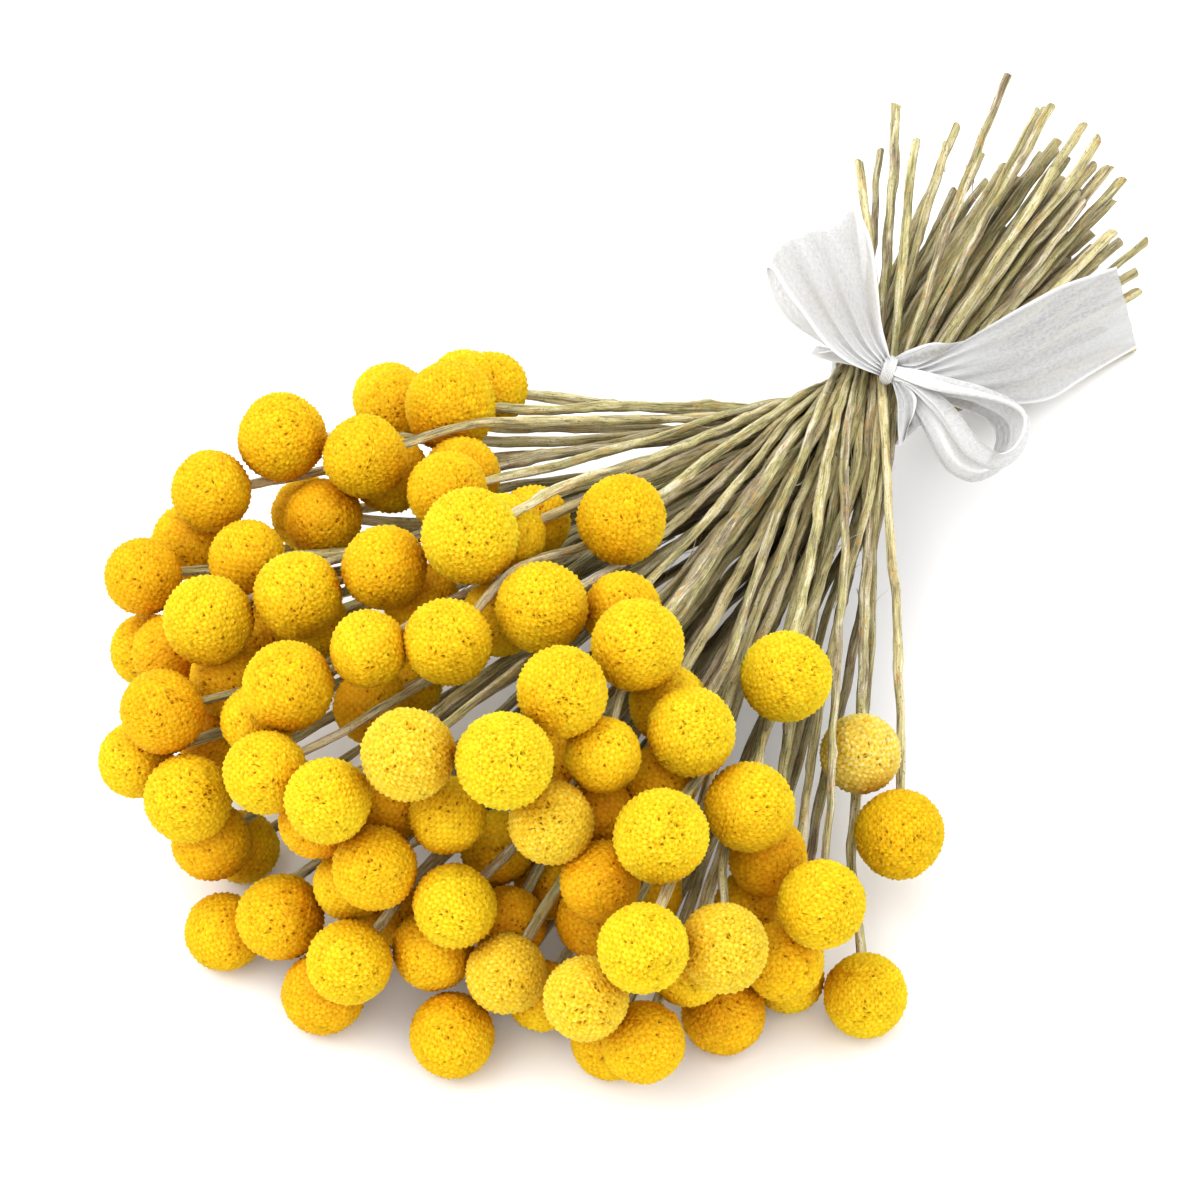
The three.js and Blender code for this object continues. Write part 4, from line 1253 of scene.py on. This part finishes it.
def taut_round_stems(directions):
    """The way of a taut ribbon round the stems at the waist, one place for each direction."""
    axis = unit(np.cross(directions[0], directions[len(directions) // 4]))
    stems = STEM_LINES.reshape(-1, 3) - WAIST
    stems = stems[abs(stems @ axis) < BAND_HALF_REACH]
    reach = (stems @ directions.T).max(axis=0) + CLOTH_CLEARANCE
    step = 2 * math.pi / (len(directions) - 1)
    around = np.concatenate([[reach[-2]], reach, [reach[1]]])
    aside = (around[2:] - around[:-2]) / (2 * step)
    return WAIST + reach[:, None] * directions + aside[:, None] * np.cross(axis, directions)


def build_band():
    """The turn of ribbon round the stems, gathered narrow and a little askew."""
    angles = np.linspace(0, 2 * math.pi, BAND_SAMPLES)
    top = np.array([-math.sin(BAND_TILT), 0, math.cos(BAND_TILT)])
    front = np.array([-math.sin(BAND_TURN), -math.cos(BAND_TURN), 0])
    lines = taut_round_stems(ring(angles, 0, top, front))
    edges = np.tile(BAND_HALF_WIDTH * unit(np.cross(front, top)), (BAND_SAMPLES, 1))
    edges *= (1 + 0.25 * np.cos(2 * angles + 0.8))[:, None]
    points, attributes, length = pleated(
        lines, edges, np.zeros(BAND_SAMPLES), seed=5, gathers=8, soft_pleats=2)
    least = BAND_TIGHTNESS * length_of(lines - WAIST)[:, None]
    reach = np.maximum(length_of(points - WAIST), 1)
    points = WAIST + (points - WAIST) * np.clip(least / reach, 1, None)[..., None]
    cloth_piece("ribbon_band", points, attributes,
                painted_light=1.0, closed=True)


def build_knot():
    """The turn of folded ribbon that ties the bow."""
    angles = np.linspace(0, 2 * math.pi, KNOT_SAMPLES)
    axis = unit(np.array([0.95, -0.30, 0.0])) @ BOW_BASIS
    start = np.array([0.30, 0.95, 0.0]) @ BOW_BASIS
    toward = np.array([0, 0, 1.0]) @ BOW_BASIS
    lines = ring(angles, KNOT, KNOT_HEIGHT * start, KNOT_DEPTH * toward)
    edges = np.tile(KNOT_HALF_WIDTH * axis, (KNOT_SAMPLES, 1))
    points, attributes, length = pleated(
        lines, edges, np.zeros(KNOT_SAMPLES), seed=7, width=NARROW_WIDTH,
        columns=KNOT_COLUMNS, gathers=7, soft_pleats=2)
    attributes["layers"] = np.full_like(attributes["layers"], KNOT_LAYERS)
    crown = 1 - KNOT_CROWN * np.linspace(-1, 1, KNOT_COLUMNS) ** 2
    along = (points - KNOT) @ np.outer(axis, axis)
    points = KNOT + along + (points - KNOT - along) * crown[:, None]
    cloth_piece("ribbon_knot", points, attributes,
                painted_light=1.05, closed=True)


ORGANZA = organza_material()
build_band()
build_knot()
bow_strip("ribbon_left_loop", LEFT_LOOP, 140, seed=1, painted_light=1.12, loop=True,
          soft_pleats=3, softness=0.45, crest_shape=LEFT_CREST)
bow_strip("ribbon_right_loop", RIGHT_LOOP, 150, seed=2, painted_light=1.2, loop=True,
          softness=0.7, density=0.65, crease_at=0.1)
bow_strip("ribbon_long_tail", LONG_TAIL, 120, seed=3, painted_light=0.95, soft_pleats=5, softness=0.2)
for name, stations, samples, seed, painted_light, gathers in (
    ("ribbon_short_tail", SHORT_TAIL, 40, 4, 1.1, 3),
    ("ribbon_under_tail", UNDER_TAIL, 50, 6, 0.95, 2),
    ("ribbon_wedge", WEDGE, 40, 8, 1.05, 3),
):
    bow_strip(name, stations, samples, seed, painted_light, NARROW_WIDTH, gathers=gathers, soft_pleats=1)

# ------------------ stage, light and camera

FLOOR_REACH = 3.0  # metres from its middle to each side
FLOOR_GREY = 0.85
DAYLIGHT = 1.9
LAMP_SIZE = 1.4
LAMP_POWER = 10
LAMP_DISTANCE = 1.6
LAMP_ASIDE = 0.12
LAMP_FROM = (-0.62, 0.55, 0.80)  # as the onlooker sees it: across, up and toward
LENS = 130


def build_floor():
    mesh = bpy.data.meshes.new("floor")
    far = FLOOR_REACH
    mesh.from_pydata([(-far, -far, 0), (far, -far, 0), (far, far, 0), (-far, far, 0)], [],
                     [(0, 1, 2, 3)])
    look = Look("floor_white", roughness=0.9, specular=0.0)
    look.set(look.surface, {"Base Color": grey(FLOOR_GREY)})
    mesh.materials.append(look.material)
    floor = add_to_scene("floor", mesh)


def turned(columns, place):
    """A matrix from three directions as its columns, and a place."""
    matrix = Matrix(np.array(columns).T.tolist()).to_4x4()
    matrix.translation = Vector(place)
    return matrix


def build_light():
    world = bpy.data.worlds.new("studio")
    world.use_nodes = True
    background = world.node_tree.nodes["Background"]
    background.inputs["Color"].default_value = (1.0, 1.0, 1.0, 1)
    background.inputs["Strength"].default_value = DAYLIGHT
    bpy.context.scene.world = world
    lamp = bpy.data.lights.new("softbox", "AREA")
    lamp.shape = "DISK"
    lamp.size = LAMP_SIZE
    lamp.energy = LAMP_POWER
    towards = unit(np.array(LAMP_FROM)) @ BOW_BASIS
    place = (WAIST + SHIFT) * MM + towards * LAMP_DISTANCE - np.array([LAMP_ASIDE, 0, 0])
    side = unit(np.cross([0, 0, 1.0], towards))
    light = add_to_scene("softbox", lamp)
    light.matrix_world = turned([side, np.cross(towards, side), towards], place)


def build_camera():
    data = bpy.data.cameras.new("onlooker")
    data.lens = LENS
    camera = add_to_scene("onlooker", data)
    camera.matrix_world = turned([SIGHT_RIGHT, SIGHT_UP, -SIGHT_FORWARD], (EYE + SHIFT) * MM)
    bpy.context.scene.camera = camera


build_floor()
build_light()
build_camera()
bpy.context.scene.view_settings.view_transform = "Standard"
